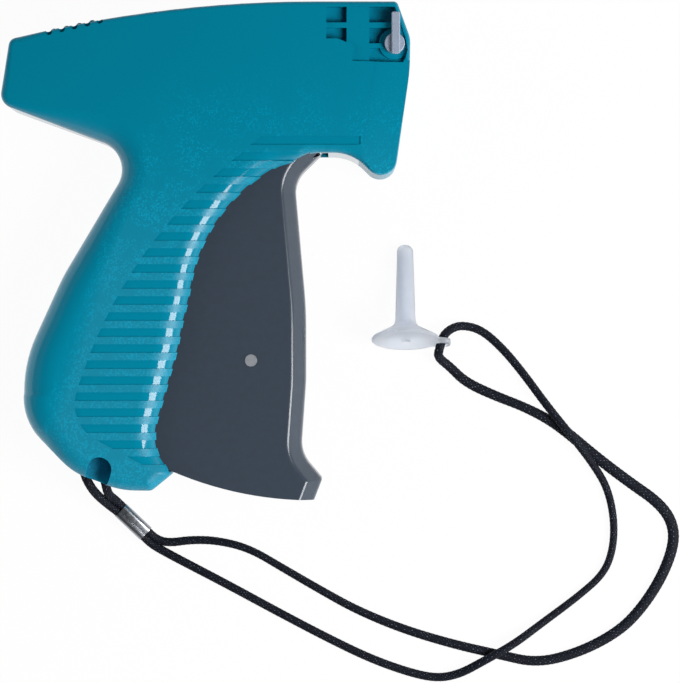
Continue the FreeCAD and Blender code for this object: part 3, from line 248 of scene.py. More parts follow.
def spark_eroded_abs(name, colour):
    """ABS from a spark-eroded mould: smooth on the barrel, with grain on the grip that painted sheen and painted
    glints make paler, polished in its bands.
    """
    material, output = new_material(name)
    tree = material.node_tree
    place = add_node(tree, "ShaderNodeTexCoord").outputs["Object"]
    height, reach, band = grip_panel(tree, place)
    outside = add_node(tree, "ShaderNodeMath", {"operation": "SUBTRACT", 0: 1.0}, {1: band}).outputs["Value"]
    grip = add_node(
        tree, "ShaderNodeMapRange",
        {
            "interpolation_type": "SMOOTHSTEP",
            "From Min": SHEEN_AND_GRAIN_NONE_ABOVE * MM, "From Max": SHEEN_AND_GRAIN_FULL_BELOW * MM,
        },
        {"Value": height},
    )
    near = add_node(
        tree, "ShaderNodeMapRange", {"From Min": GRAIN_AND_GLINT_END * MM, "From Max": GRAIN_AND_GLINT_START * MM}, {"Value": reach}
    )
    grain_and_sheen = outside
    for share in (grip, near):
        grain_and_sheen = add_node(
            tree, "ShaderNodeMath", {"operation": "MULTIPLY"}, {0: grain_and_sheen, 1: share.outputs["Result"]}
        ).outputs["Value"]
    # The painted glints on the panel's scattered dots: which cells have one, how round it is, and where they gather
    # in patches.
    cells = add_node(tree, "ShaderNodeTexVoronoi", {"Scale": per_mm(DOT_SIZE), "Randomness": 1.0}, {"Vector": place})
    pits = add_node(tree, "ShaderNodeTexNoise", {"Scale": per_mm(PIT_SIZE), "Detail": 3.0}, {"Vector": place})
    clouds = add_node(tree, "ShaderNodeTexNoise", {"Scale": per_mm(CLOUD_SIZE), "Detail": 3.0}, {"Vector": place})
    chosen = add_node(
        tree, "ShaderNodeMapRange", {"From Min": 0.4, "From Max": 1.0}, {"Value": cells.outputs["Color"]}
    )
    dot = add_node(
        tree, "ShaderNodeMapRange", {"From Min": 0.6, "From Max": 0.2}, {"Value": cells.outputs["Distance"]}
    )
    patch = add_node(
        tree, "ShaderNodeMapRange", {"From Min": 0.36, "From Max": 0.6}, {"Value": clouds.outputs["Fac"]}
    )
    painted_glint = chosen.outputs["Result"]
    for share in (dot.outputs["Result"], patch.outputs["Result"]):
        painted_glint = add_node(tree, "ShaderNodeMath", {"operation": "MULTIPLY"}, {0: painted_glint, 1: share}).outputs["Value"]
    # The colour: painted sheen makes it paler on the grip than on the barrel and paler on the grain than in the
    # bands, with a faint mottle, and painted glints make it paler still on the dots.
    # Painted glints on the dots, and painted sheen on all the grain.
    lift = add_node(tree, "ShaderNodeMath", {"operation": "MULTIPLY_ADD", 1: 4.0, 2: 0.03}, {0: painted_glint})
    lighter = add_node(
        tree, "ShaderNodeMath", {"operation": "MULTIPLY"}, {0: lift.outputs["Value"], 1: grain_and_sheen}
    )
    mottle = add_node(
        tree, "ShaderNodeMapRange", {"To Min": 0.44, "To Max": 0.56}, {"Value": pits.outputs["Fac"]}
    )
    # Painted sheen: the colour is paler lower down the grip.
    paler = add_node(
        tree, "ShaderNodeMath", {"operation": "MULTIPLY_ADD", 1: 0.13},
        {0: grip.outputs["Result"], 2: mottle.outputs["Result"]},
    )
    tone = add_node(
        tree, "ShaderNodeMath", {"operation": "ADD"}, {0: paler.outputs["Value"], 1: lighter.outputs["Value"]}
    )
    ramp = add_node(tree, "ShaderNodeValToRGB", links={"Fac": tone.outputs["Value"]})
    ramp.color_ramp.elements[0].color = rgba(colour, 0.5)
    ramp.color_ramp.elements[1].color = rgba(colour, 1.5)
    relief = add_node(
        tree, "ShaderNodeMath", {"operation": "ADD"}, {0: cells.outputs["Distance"], 1: pits.outputs["Fac"]}
    )
    depth = add_node(
        tree, "ShaderNodeMath", {"operation": "MULTIPLY"}, {0: relief.outputs["Value"], 1: grain_and_sheen}
    )
    bump = add_node(
        tree, "ShaderNodeBump", {"Strength": 0.5, "Distance": 0.035 * MM}, {"Height": depth.outputs["Value"]}
    )
    # The roughness: glossy in the bands, satin round them, matt where the grain is.
    satin = add_node(tree, "ShaderNodeMath", {"operation": "MULTIPLY_ADD", 1: 0.05, 2: 0.08}, {0: outside})
    gloss = add_node(
        tree, "ShaderNodeMath", {"operation": "MULTIPLY_ADD", 1: 0.33}, {0: grain_and_sheen, 2: satin.outputs["Value"]}
    )
    shader = add_node(
        tree, "ShaderNodeBsdfPrincipled", {"IOR": 1.53, "Specular IOR Level": 0.38},
        {"Base Color": ramp.outputs["Color"], "Roughness": gloss.outputs["Value"], "Normal": bump.outputs["Normal"]},
    )
    tree.links.new(shader.outputs["BSDF"], output.inputs["Surface"])
    return material


def satin_abs(name, colour):
    """ABS from a polished mould: smooth, with a soft satin shine and barely any grain."""
    material, output = new_material(name)
    tree = material.node_tree
    place = add_node(tree, "ShaderNodeTexCoord").outputs["Object"]
    base = mottled(tree, place, colour, 2.2, 0.04)
    waves = add_node(tree, "ShaderNodeTexNoise", {"Scale": per_mm(1.4), "Detail": 5.0}, {"Vector": place})
    bump = add_node(
        tree, "ShaderNodeBump", {"Strength": 0.25, "Distance": 0.02 * MM}, {"Height": waves.outputs["Fac"]}
    )
    gloss = add_node(
        tree, "ShaderNodeMapRange", {"To Min": 0.17, "To Max": 0.24}, {"Value": waves.outputs["Fac"]}
    )
    shader = add_node(
        tree, "ShaderNodeBsdfPrincipled", {"IOR": 1.53},
        {"Base Color": base, "Roughness": gloss.outputs["Result"], "Normal": bump.outputs["Normal"]},
    )
    tree.links.new(shader.outputs["BSDF"], output.inputs["Surface"])
    return material


def milky_polyethylene(name, colour):
    """Undyed low-density polyethylene: waxy, soft to light, cloudy all through."""
    material, output = new_material(name)
    tree = material.node_tree
    place = add_node(tree, "ShaderNodeTexCoord").outputs["Object"]
    base = mottled(tree, place, colour, 4.0, 0.03)
    flow = add_node(tree, "ShaderNodeTexNoise", {"Scale": per_mm(2.0), "Detail": 3.0}, {"Vector": place})
    bump = add_node(
        tree, "ShaderNodeBump", {"Strength": 0.2, "Distance": 0.03 * MM}, {"Height": flow.outputs["Fac"]}
    )
    shader = add_node(
        tree, "ShaderNodeBsdfPrincipled",
        {
            "IOR": 1.51, "Roughness": 0.55, "Transmission Weight": 0.82, "Subsurface Weight": 0.8,
            "Subsurface Scale": 6.0 * MM, "Subsurface Radius": (1.0, 1.0, 1.1),
        },
        {"Base Color": base, "Normal": bump.outputs["Normal"]},
    )
    tree.links.new(shader.outputs["BSDF"], output.inputs["Surface"])
    return material


def moulded_polymer(name, colour, roughness, subsurface):
    """An undyed engineering polymer: pale, slightly waxy, with faint flow marks."""
    material, output = new_material(name)
    tree = material.node_tree
    place = add_node(tree, "ShaderNodeTexCoord").outputs["Object"]
    base = mottled(tree, place, colour, 1.8, 0.04)
    flow = add_node(tree, "ShaderNodeTexNoise", {"Scale": per_mm(0.9), "Detail": 4.0}, {"Vector": place})
    bump = add_node(
        tree, "ShaderNodeBump", {"Strength": 0.2, "Distance": 0.02 * MM}, {"Height": flow.outputs["Fac"]}
    )
    shader = add_node(
        tree, "ShaderNodeBsdfPrincipled",
        {
            "IOR": 1.5, "Roughness": roughness, "Subsurface Weight": subsurface,
            "Subsurface Scale": 0.8 * MM, "Subsurface Radius": (1.0, 1.0, 1.0),
        },
        {"Base Color": base, "Normal": bump.outputs["Normal"]},
    )
    tree.links.new(shader.outputs["BSDF"], output.inputs["Surface"])
    return material


def worked_metal(name, colour, roughness, grain, depth):
    """Bare metal with fine marks left by the tool that made it."""
    material, output = new_material(name)
    tree = material.node_tree
    place = add_node(tree, "ShaderNodeTexCoord").outputs["Object"]
    base = mottled(tree, place, colour, grain * 2, 0.08)
    marks = add_node(tree, "ShaderNodeTexNoise", {"Scale": per_mm(grain), "Detail": 6.0}, {"Vector": place})
    bump = add_node(
        tree, "ShaderNodeBump", {"Strength": 0.4, "Distance": depth * MM}, {"Height": marks.outputs["Fac"]}
    )
    gloss = add_node(
        tree, "ShaderNodeMapRange", {"To Min": roughness * 0.7, "To Max": roughness * 1.4},
        {"Value": marks.outputs["Fac"]},
    )
    shader = add_node(
        tree, "ShaderNodeBsdfPrincipled", {"Metallic": 1.0},
        {"Base Color": base, "Roughness": gloss.outputs["Result"], "Normal": bump.outputs["Normal"]},
    )
    tree.links.new(shader.outputs["BSDF"], output.inputs["Surface"])
    return material


# Threads drawn round the cord, which makes each 0.5 mm: real ones are 0.08 mm and would be too fine to show.
THREADS_ROUND = 17.0


def braided_polyester(name, colour, crown_glint):
    """Spun polyester braid: matt near-black threads, with a painted highlight in a paler colour where strand crowns
    and threads stand highest.
    """
    material, output = new_material(name)
    tree = material.node_tree
    crown = add_node(tree, "ShaderNodeAttribute", {"attribute_name": "strand_crown"}).outputs["Fac"]
    along = add_node(tree, "ShaderNodeUVMap", {"uv_map": "braid"}).outputs["UV"]
    threads = add_node(
        tree, "ShaderNodeTexNoise", {"Scale": THREADS_ROUND, "Detail": 3.0, "Roughness": 0.7}, {"Vector": along}
    )
    # Painted highlight: paler where a strand's crown and its threads stand highest.
    shade = add_node(
        tree, "ShaderNodeMath", {"operation": "MULTIPLY", "use_clamp": True}, {0: crown, 1: threads.outputs["Fac"]}
    )
    ramp = add_node(tree, "ShaderNodeValToRGB", links={"Fac": shade.outputs["Value"]})
    ramp.color_ramp.elements[0].position = 0.46
    ramp.color_ramp.elements[0].color = rgba(colour, 0.9)
    ramp.color_ramp.elements[1].position = 0.56
    ramp.color_ramp.elements[1].color = rgba(crown_glint)
    bump = add_node(
        tree, "ShaderNodeBump", {"Strength": 0.6, "Distance": 0.06 * MM}, {"Height": threads.outputs["Fac"]}
    )
    shader = add_node(
        tree, "ShaderNodeBsdfPrincipled",
        {"IOR": 1.5, "Roughness": 0.65, "Specular IOR Level": 0.15},
        {"Base Color": ramp.outputs["Color"], "Normal": bump.outputs["Normal"]},
    )
    tree.links.new(shader.outputs["BSDF"], output.inputs["Surface"])
    return material


# How much of the paper is plain white where it is seen. The rest keeps the shadow.
WHITE_SHARE = 0.96


def studio_paper(name, colour):
    """Pale paper that is plain white where it is seen, and keeps a faint shadow."""
    material, output = new_material(name)
    tree = material.node_tree
    path = add_node(tree, "ShaderNodeLightPath").outputs
    seen = path["Is Camera Ray"]
    for kind in ("Is Transmission Ray", "Is Glossy Ray"):
        seen = add_node(tree, "ShaderNodeMath", {"operation": "MAXIMUM"}, {0: seen, 1: path[kind]}).outputs["Value"]
    paper = add_node(tree, "ShaderNodeBsdfDiffuse", {"Color": rgba(colour)})
    white = add_node(tree, "ShaderNodeEmission", {"Color": WHITE, "Strength": 1.0})
    mixed = add_node(
        tree, "ShaderNodeMixShader", {"Fac": WHITE_SHARE}, {1: paper.outputs["BSDF"], 2: white.outputs["Emission"]}
    )
    shown = add_node(
        tree, "ShaderNodeMixShader",
        links={"Fac": seen, 1: paper.outputs["BSDF"], 2: mixed.outputs["Shader"]},
    )
    tree.links.new(shown.outputs["Shader"], output.inputs["Surface"])
    return material


# After a polymer's colour stand its roughness and how much light goes under its surface. After a metal's colour stand
# its roughness, and the size and depth of its marks in millimetres.
FINISHES = {
    "housing": lambda s: spark_eroded_abs("Spark-eroded ABS", s.housing),
    "trigger": lambda s: satin_abs("Satin ABS", s.trigger),
    "cap": lambda s: milky_polyethylene("Milky polyethylene", s.cap),
    "nylon": lambda s: moulded_polymer("Undyed nylon", s.nylon, 0.42, 0.2),
    "acetal": lambda s: moulded_polymer("Pale acetal", s.acetal, 0.3, 0.25),
    "steel": lambda s: worked_metal("Ground steel", s.steel, 0.22, 0.35, 0.01),
    "cropped": lambda s: worked_metal("Cropped steel", s.steel, 0.5, 0.3, 0.03),
    "spring": lambda s: worked_metal("Spring steel", shade(s.steel, 0.7), 0.3, 0.25, 0.01),
    "zinc": lambda s: worked_metal("Zinc-plated steel", shade(s.steel, 0.9), 0.35, 0.5, 0.02),
    "casting": lambda s: worked_metal("Die-cast zinc alloy", shade(s.steel, 0.75), 0.48, 0.8, 0.04),
    "sleeve": lambda s: worked_metal("Nickel-plated brass", shade(s.steel, 0.8), 0.3, 0.9, 0.005),
    "cord": lambda s: braided_polyester("Braided polyester", s.cord, s.crown_glint),
}


def finish(name):
    """The material of that finish, made when it is first asked for."""
    settings = bpy.context.scene.tag_attacher_finishes
    key = "tag_attacher_" + name
    for material in bpy.data.materials:
        if material.get("finish") == key:
            return material
    material = FINISHES[name](settings)
    material["finish"] = key
    return material


def dress(name, *nodes):
    """Gives the tool's solids a finish and leaves their shape alone."""
    for node in nodes:
        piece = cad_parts[node]
        if not piece.material_slots:
            piece.data.materials.append(finish(name))
        for slot in piece.material_slots:
            slot.material = finish(name)


# ---------------------------------------------------------------- the lanyard

# The cord's usual thickness, in millimetres.
CORD_DIAMETER = 2.6

# Points of the long loop, in millimetres: along the tool, up the tool, above the floor.
CORD_ROUTE = [
    (-19.4, -83.3, 3.1), (-18.3, -84.4, 2.7), (-15.8, -86.9, 1.4),
    (-12.2, -88.0, 1.35), (-5.0, -87.0, 1.35), (3.0, -87.3, 1.35), (12.5, -89.7, 1.35),
    (23.0, -95.9, 1.35), (34.0, -102.3, 1.35), (45.0, -108.4, 1.35), (59.0, -114.2, 1.35),
    (74.0, -118.7, 1.35), (88.0, -121.9, 1.35), (100.0, -124.6, 1.35), (113.0, -121.2, 1.35),
    (124.7, -115.0, 1.35), (131.8, -107.8, 1.35), (138.2, -97.8, 1.35), (141.8, -87.6, 1.35),
    (140.7, -80.7, 1.35), (136.2, -75.2, 1.35), (128.5, -69.9, 1.35), (118.0, -62.0, 1.35),
    (106.5, -52.2, 1.35), (97.0, -47.0, 1.35), (86.5, -43.0, 1.35), (78.0, -39.0, 1.35),
    (73.4, -34.4, 1.8), (69.5, -31.4, 4.0), (70.1, -28.7, 6.7), (71.05, -25.2, 5.4),
    (73.4, -22.9, 3.0), (77.0, -21.7, 1.6), (83.0, -23.1, 1.35), (89.8, -29.2, 1.35),
    (96.2, -37.1, 1.9), (103.0, -46.6, 4.1), (110.8, -56.1, 4.1), (117.1, -64.2, 1.9),
    (121.4, -71.4, 1.35), (123.4, -81.0, 1.35), (123.0, -90.0, 1.35), (120.2, -97.4, 1.35),
    (112.2, -104.4, 1.35), (101.8, -112.0, 1.9), (92.5, -118.7, 4.1), (83.4, -123.7, 4.1),
    (76.4, -127.8, 1.9), (69.5, -129.2, 1.35), (61.0, -127.4, 1.35), (49.0, -123.1, 1.35),
    (35.8, -116.7, 1.35), (21.5, -109.2, 1.35), (6.0, -100.8, 1.35), (-6.5, -94.3, 1.35),
    (-13.5, -90.6, 1.35), (-17.3, -88.4, 1.4), (-19.9, -85.9, 2.7), (-21.0, -84.8, 3.1),
]

# The braid lies flatter or rounder from place to place: share of the length, width, thickness.
LONG_SECTIONS = [
    (0.00, 2.3, 2.3), (0.012, 2.65, 2.3), (0.07, 2.3, 2.2), (0.17, 2.7, 2.2), (0.25, 3.1, 2.1), (0.33, 3.4, 2.0),
    (0.42, 3.4, 2.0), (0.455, 2.9, 2.2), (0.48, 3.1, 2.2), (0.505, 2.8, 2.4), (0.53, 2.6, 2.4),
    (0.60, 2.5, 2.3), (0.72, 2.2, 2.2), (0.80, 2.6, 2.2), (0.90, 2.5, 2.2), (0.988, 2.65, 2.3), (1.00, 2.3, 2.3),
]

# Points of the short loop, in millimetres, from the sleeve up into the heel, round its post and back.
HEEL_ROUTE = [
    (-26.2, -79.6, 4.5), (-27.3, -78.5, 4.8), (-30.4, -75.9, 6.3), (-33.9, -72.3, 10.4), (-35.9, -68.7, 13.2),
    (-36.85, -66.0, 14.0), (-36.85, -60.5, 14.0), (-31.15, -60.5, 14.0), (-31.15, -65.9, 14.0),
    (-30.4, -69.9, 12.6), (-29.9, -72.9, 9.4), (-27.9, -74.7, 6.0), (-25.7, -76.9, 4.8), (-24.6, -78.0, 4.5),
]
HEEL_SECTIONS = [(0.0, 2.3, 2.3), (0.12, 2.75, 2.4), (0.88, 2.75, 2.4), (1.0, 2.3, 2.3)]

# Mesh points round the braid for each of its strands, and the rings over which its width is smoothed, an odd number.
POINTS_TO_A_STRAND = 5
SMOOTHED_RINGS = 31

# The sleeve's ends, its size across, its wall and its edge's rounding, in millimetres.
SLEEVE_START, SLEEVE_END = (-26.55, -77.74, 4.7), (-19.1, -85.0, 3.1)
SLEEVE_WIDTH, SLEEVE_HEIGHT, SLEEVE_ROUNDING = 5.1, 3.2, 1.45
SLEEVE_WALL, SLEEVE_EDGE = 0.35, 0.1

# The seam along the sleeve's top, in millimetres: the edges of its two slopes and floor, its middle and its depth.
SEAM_EDGES, SEAM_MIDDLE, SEAM_DEPTH = (-0.58, -0.46, -0.30, -0.18), -0.38, 0.2


def smooth_line(points):
    """The cord's centreline: a NURBS curve that has the route's points as its control points."""
    curve = bpy.data.curves.new("route", "CURVE")
    curve.dimensions = "3D"
    curve.resolution_u = 24
    spline = curve.splines.new("NURBS")
    spline.points.add(len(points) - 1)
    for knot, point in zip(spline.points, points):
        knot.co = (*(p * MM for p in point), 1.0)
    spline.order_u = 3
    spline.use_endpoint_u = True
    holder = bpy.data.objects.new("route", curve)
    mesh = bpy.data.meshes.new_from_object(holder)
    line = np.array([v.co for v in mesh.vertices])
    bpy.data.meshes.remove(mesh)
    bpy.data.objects.remove(holder)
    bpy.data.curves.remove(curve)
    return line


def evenly(line, step):
    """The line again with its points a step apart, and how far along each one is."""
    along = np.concatenate([[0], np.cumsum(np.linalg.norm(np.diff(line, axis=0), axis=1))])
    at = np.linspace(0, along[-1], math.ceil(along[-1] / step) + 1)
    return np.stack([np.interp(at, along, line[:, axis]) for axis in range(3)], axis=1), at


def braid_crown(turn, along, strands, pitch):
    """Height from 0 to 1 of a plain braid: two hands of strands that pass over and under each other."""
    one = turn * strands + along / pitch / 2
    other = turn * strands - along / pitch / 2
    on_top = (np.floor(one) + np.floor(other)) % 2 < 0.5
    across = np.where(on_top, one, other) % 1.0
    lengthwise = np.where(on_top, other, one) % 1.0
    return np.sin(np.pi * across) ** 0.7 * (0.55 + 0.45 * np.sin(np.pi * lengthwise))


def braided_cord(name, route, sections, settings):
    """A hollow braid laid along a route: a closed mesh with the strands' relief in it."""
    line, along = evenly(smooth_line(route), settings.ring_step)
    share = along / along[-1]
    knots = np.array(sections)
    width = np.interp(share, knots[:, 0], knots[:, 1]) * MM / 2
    thick = np.interp(share, knots[:, 0], knots[:, 2]) * MM / 2
    smoothing = np.ones(SMOOTHED_RINGS) / SMOOTHED_RINGS
    width = np.convolve(np.pad(width, SMOOTHED_RINGS // 2, mode="edge"), smoothing, mode="valid")
    thick = np.convolve(np.pad(thick, SMOOTHED_RINGS // 2, mode="edge"), smoothing, mode="valid")
    ahead = np.gradient(line, axis=0)
    ahead /= np.linalg.norm(ahead, axis=1)[:, None]
    side = np.cross(ahead, (0.0, 0.0, 1.0))
    side /= np.linalg.norm(side, axis=1)[:, None]
    up = np.cross(side, ahead)
    strands = settings.strands_round
    count = strands * POINTS_TO_A_STRAND
    turns = np.arange(count) / count
    crown = braid_crown(turns[None, :], along[:, None], strands, settings.strand_pitch)
    grow = (crown - 0.75) * settings.strand_relief
    cosine = np.cos(2 * np.pi * turns)
    sine = np.sin(2 * np.pi * turns)
    places = (
        line[:, None]
        + side[:, None] * ((width[:, None] + grow) * cosine)[..., None]
        + up[:, None] * ((thick[:, None] + grow) * sine)[..., None]
    ).reshape(-1, 3)
    rings = len(line)
    places_round = np.arange(count)
    ring_starts = np.arange(rings - 1)[:, None] * count
    first = ring_starts + places_round[None, :]
    second = ring_starts + (places_round[None, :] + 1) % count
    sides = np.stack([first, second, second + count, first + count], axis=2).reshape(-1, 4)
    ends = [list(range(count))[::-1], list(range((rings - 1) * count, rings * count))]
    mesh = bpy.data.meshes.new(name)
    mesh.from_pydata(places.tolist(), [], sides.tolist() + ends)
    crowns = mesh.attributes.new("strand_crown", "FLOAT", "POINT")
    crowns.data.foreach_set("value", crown.ravel().astype(np.float32))
    layer = mesh.uv_layers.new(name="braid")
    corner_turn = np.stack([places_round, places_round + 1, places_round + 1, places_round], axis=1) / count
    lengths = along / (np.pi * CORD_DIAMETER * MM)
    corner_u = np.tile(corner_turn, (rings - 1, 1))
    corner_v = np.stack([lengths[:-1], lengths[:-1], lengths[1:], lengths[1:]], axis=1).repeat(count, axis=0)
    pairs = np.stack([corner_u, corner_v], axis=2).reshape(-1, 2)
    pairs = np.concatenate([pairs, np.zeros((2 * count, 2))])
    layer.data.foreach_set("uv", pairs.ravel().astype(np.float32))
    mesh.materials.append(finish("cord"))
    mesh.validate()
    mesh.shade_smooth()
    piece = bpy.data.objects.new(name, mesh)
    bpy.context.scene.collection.objects.link(piece)
    return piece, line


class TAGTOOL_OT_long_loop(bpy.types.Operator):
    """Lay the lanyard's long loop through the needle cap's eye and back to the sleeve."""

    bl_idname = "tagtool.long_loop"
    bl_label = "Long loop"

    def execute(self, context):
        piece, line = braided_cord(
            "long_loop_braid", CORD_ROUTE, LONG_SECTIONS, context.scene.tag_attacher_cord
        )
        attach(piece, "housing")
        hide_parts("lanyard_cord")
        return {"FINISHED"}


class TAGTOOL_OT_heel_loop(bpy.types.Operator):
    """Lay the lanyard's short loop from the sleeve round the post in the heel."""

    bl_idname = "tagtool.heel_loop"
    bl_label = "Heel loop"

    def execute(self, context):
        piece, line = braided_cord(
            "heel_loop_braid", HEEL_ROUTE, HEEL_SECTIONS, context.scene.tag_attacher_cord
        )
        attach(piece, "housing")
        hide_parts("lanyard_heel_loop")
        return {"FINISHED"}


def pick(mesh, kind, wanted):
    """Selects, in edit mode, the edges or faces of that mesh that pass a test of their middle and direction."""
    bpy.ops.mesh.select_all(action="DESELECT")
    shape = bmesh.from_edit_mesh(mesh)
    for item in getattr(shape, kind):
        if kind == "edges":
            first, second = (v.co for v in item.verts)
            item.select_set(wanted((first + second) / 2, (second - first).normalized()))
        else:
            item.select_set(wanted(item.calc_center_median(), item.normal))
    bmesh.update_edit_mesh(mesh)


def apply_modifier(piece, kind, **settings):
    """Gives a piece a modifier with those settings and applies it."""
    modifier = piece.modifiers.new(kind.lower(), kind)
    for name, value in settings.items():
        setattr(modifier, name, value)
    bpy.ops.object.modifier_apply(modifier=modifier.name)


class TAGTOOL_OT_crimp_sleeve(bpy.types.Operator):
    """Make the metal sleeve round both strands: a rounded tube with a sunk seam along its top."""

    bl_idname = "tagtool.crimp_sleeve"
    bl_label = "Crimp sleeve"

    def execute(self, context):
        start, end = (Vector(point) * MM for point in (SLEEVE_START, SLEEVE_END))
        bpy.ops.object.select_all(action="DESELECT")
        bpy.ops.mesh.primitive_cube_add(size=1.0)
        sleeve = context.object
        sleeve.name = "crimp_sleeve"
        sleeve.scale = ((end - start).length, SLEEVE_WIDTH * MM, SLEEVE_HEIGHT * MM)
        bpy.ops.object.transform_apply(location=False, rotation=False, scale=True)
        bpy.ops.object.mode_set(mode="EDIT")
        pick(sleeve.data, "edges", lambda middle, way: abs(way.x) > 0.9)
        bpy.ops.mesh.bevel(offset=SLEEVE_ROUNDING * MM, segments=10, affect="EDGES")
        pick(sleeve.data, "faces", lambda middle, normal: abs(normal.x) > 0.9)
        bpy.ops.mesh.delete(type="FACE")
        for side in SEAM_EDGES:
            bpy.ops.mesh.select_all(action="SELECT")
            bpy.ops.mesh.bisect(plane_co=(0.0, side * MM, 0.0), plane_no=(0.0, 1.0, 0.0))
        pick(
            sleeve.data, "faces",
            lambda middle, normal: normal.z > 0.9 and abs(middle.y - SEAM_MIDDLE * MM) < 0.05 * MM,
        )
        bpy.ops.transform.translate(value=(0.0, 0.0, -SEAM_DEPTH * MM))
        bpy.ops.object.mode_set(mode="OBJECT")
        apply_modifier(sleeve, "SOLIDIFY", thickness=SLEEVE_WALL * MM, offset=-1.0)
        apply_modifier(
            sleeve, "BEVEL", width=SLEEVE_EDGE * MM, segments=3, limit_method="ANGLE", angle_limit=math.radians(35)
        )
        bpy.ops.object.shade_smooth_by_angle(angle=math.radians(40))
        sleeve.rotation_euler = (end - start).to_track_quat("X", "Z").to_euler()
        sleeve.location = (start + end) / 2
        bpy.ops.object.transform_apply(location=True, rotation=True, scale=True)
        sleeve.data.materials.append(finish("sleeve"))
        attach(sleeve, "housing")
        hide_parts("cord_ferrule")
        return {"FINISHED"}


# ---------------------------------------------------------------- the tool's own pieces


class TAGTOOL_OT_housing(bpy.types.Operator):
    """Finish both half shells."""

    bl_idname = "tagtool.housing"
    bl_label = "Housing"

    def execute(self, context):
        dress("housing", "housing_right", "housing_left")
        return {"FINISHED"}


class TAGTOOL_OT_trigger(bpy.types.Operator):
    """Finish the trigger and its pins."""

    bl_idname = "tagtool.trigger"
    bl_label = "Trigger"

    def execute(self, context):
        dress("trigger", "trigger")
        dress("cropped", "trigger_link_pin")
        dress("steel", "trigger_pivot_pin")
        return {"FINISHED"}


class TAGTOOL_OT_return_spring(bpy.types.Operator):
    """Replace the trigger's return spring with a smooth-shaded copy of it in spring steel."""

    bl_idname = "tagtool.return_spring"
    bl_label = "Return spring"

    def execute(self, context):
        bpy.ops.object.select_all(action="DESELECT")
        spring = bpy.data.objects.new("return_spring_wire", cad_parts["trigger_spring"].data.copy())
        context.scene.collection.objects.link(spring)
        spring.select_set(True)
        context.view_layer.objects.active = spring
        bpy.ops.object.mode_set(mode="EDIT")
        bpy.ops.mesh.select_all(action="SELECT")
        bpy.ops.mesh.remove_doubles(threshold=0.001 * MM)
        bpy.ops.object.mode_set(mode="OBJECT")
        bpy.ops.object.shade_smooth_by_angle(angle=math.radians(40))
        spring.data.materials.clear()
        spring.data.materials.append(finish("spring"))
        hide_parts("trigger_spring")
        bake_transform(spring)
        return {"FINISHED"}


class TAGTOOL_OT_needle_lock(bpy.types.Operator):
    """Finish the needle lock lever, the needle's seat and the knife."""

    bl_idname = "tagtool.needle_lock"
    bl_label = "Needle lock"

    def execute(self, context):
        dress("acetal", "needle_lock_lever")
        dress("nylon", "needle_seat")
        dress("steel", "knife_blade")
        return {"FINISHED"}


class TAGTOOL_OT_feed_works(bpy.types.Operator):
    """Finish the strip's guide, the feed wheel, its pawl and its detent spring."""

    bl_idname = "tagtool.feed_works"
    bl_label = "Feed works"

    def execute(self, context):
        dress("nylon", "clip_guide", "feed_wheel", "feed_pawl")
        dress("steel", "feed_wheel_axle")
        dress("spring", "detent_spring")
        return {"FINISHED"}


class TAGTOOL_OT_drive_works(bpy.types.Operator):
    """Finish the drive lever, its bracket and pin, the slide, its pin and the ejector rod."""

    bl_idname = "tagtool.drive_works"
    bl_label = "Drive works"

    def execute(self, context):
        dress("casting", "drive_lever")
        dress("zinc", "lever_bracket")
        dress("nylon", "ejector_slide")
        dress("steel", "lever_pivot_pin", "slide_drive_pin", "ejector_rod")
        return {"FINISHED"}


class TAGTOOL_OT_fastenings(bpy.types.Operator):
    """Finish the screws, the lanyard's post and the needle cap."""

    bl_idname = "tagtool.fastenings"
    bl_label = "Fastenings and cap"

    def execute(self, context):
        dress("zinc", "housing_screws")
        dress("steel", "lanyard_post")
        dress("cap", "needle_cap")
        return {"FINISHED"}


# ---------------------------------------------------------------- stage

# The middle of the view, half way up the tool.
VIEW_CENTRE = Vector((39.95 * MM, -26.72 * MM, 14 * MM))

# Each lamp's place, and its width and height, in metres.
KEY_PLACE, KEY_SIZE = (0.488, -0.188, 0.514), (0.38, 0.38)
FILL_PLACE, FILL_SIZE = (-0.72, 0.1, 0.26), (0.6, 0.3)

# The sky behind the tool's back has this share of the horizon's strength, and a higher fall dims it faster upwards.
BACK_SHARE, SKY_FALL = 0.25, 2.5


def lamp(name, place, size, power):
    """A rectangular soft lamp that faces the middle of the view."""
    data = bpy.data.lights.new(name, "AREA")
    data.shape = "RECTANGLE"
    data.size, data.size_y = size
    data.energy = power
    holder = bpy.data.objects.new(name, data)
    holder.location = place
    holder.rotation_euler = (VIEW_CENTRE - Vector(place)).to_track_quat("-Z", "Y").to_euler()
    bpy.context.scene.collection.objects.link(holder)
    return holder


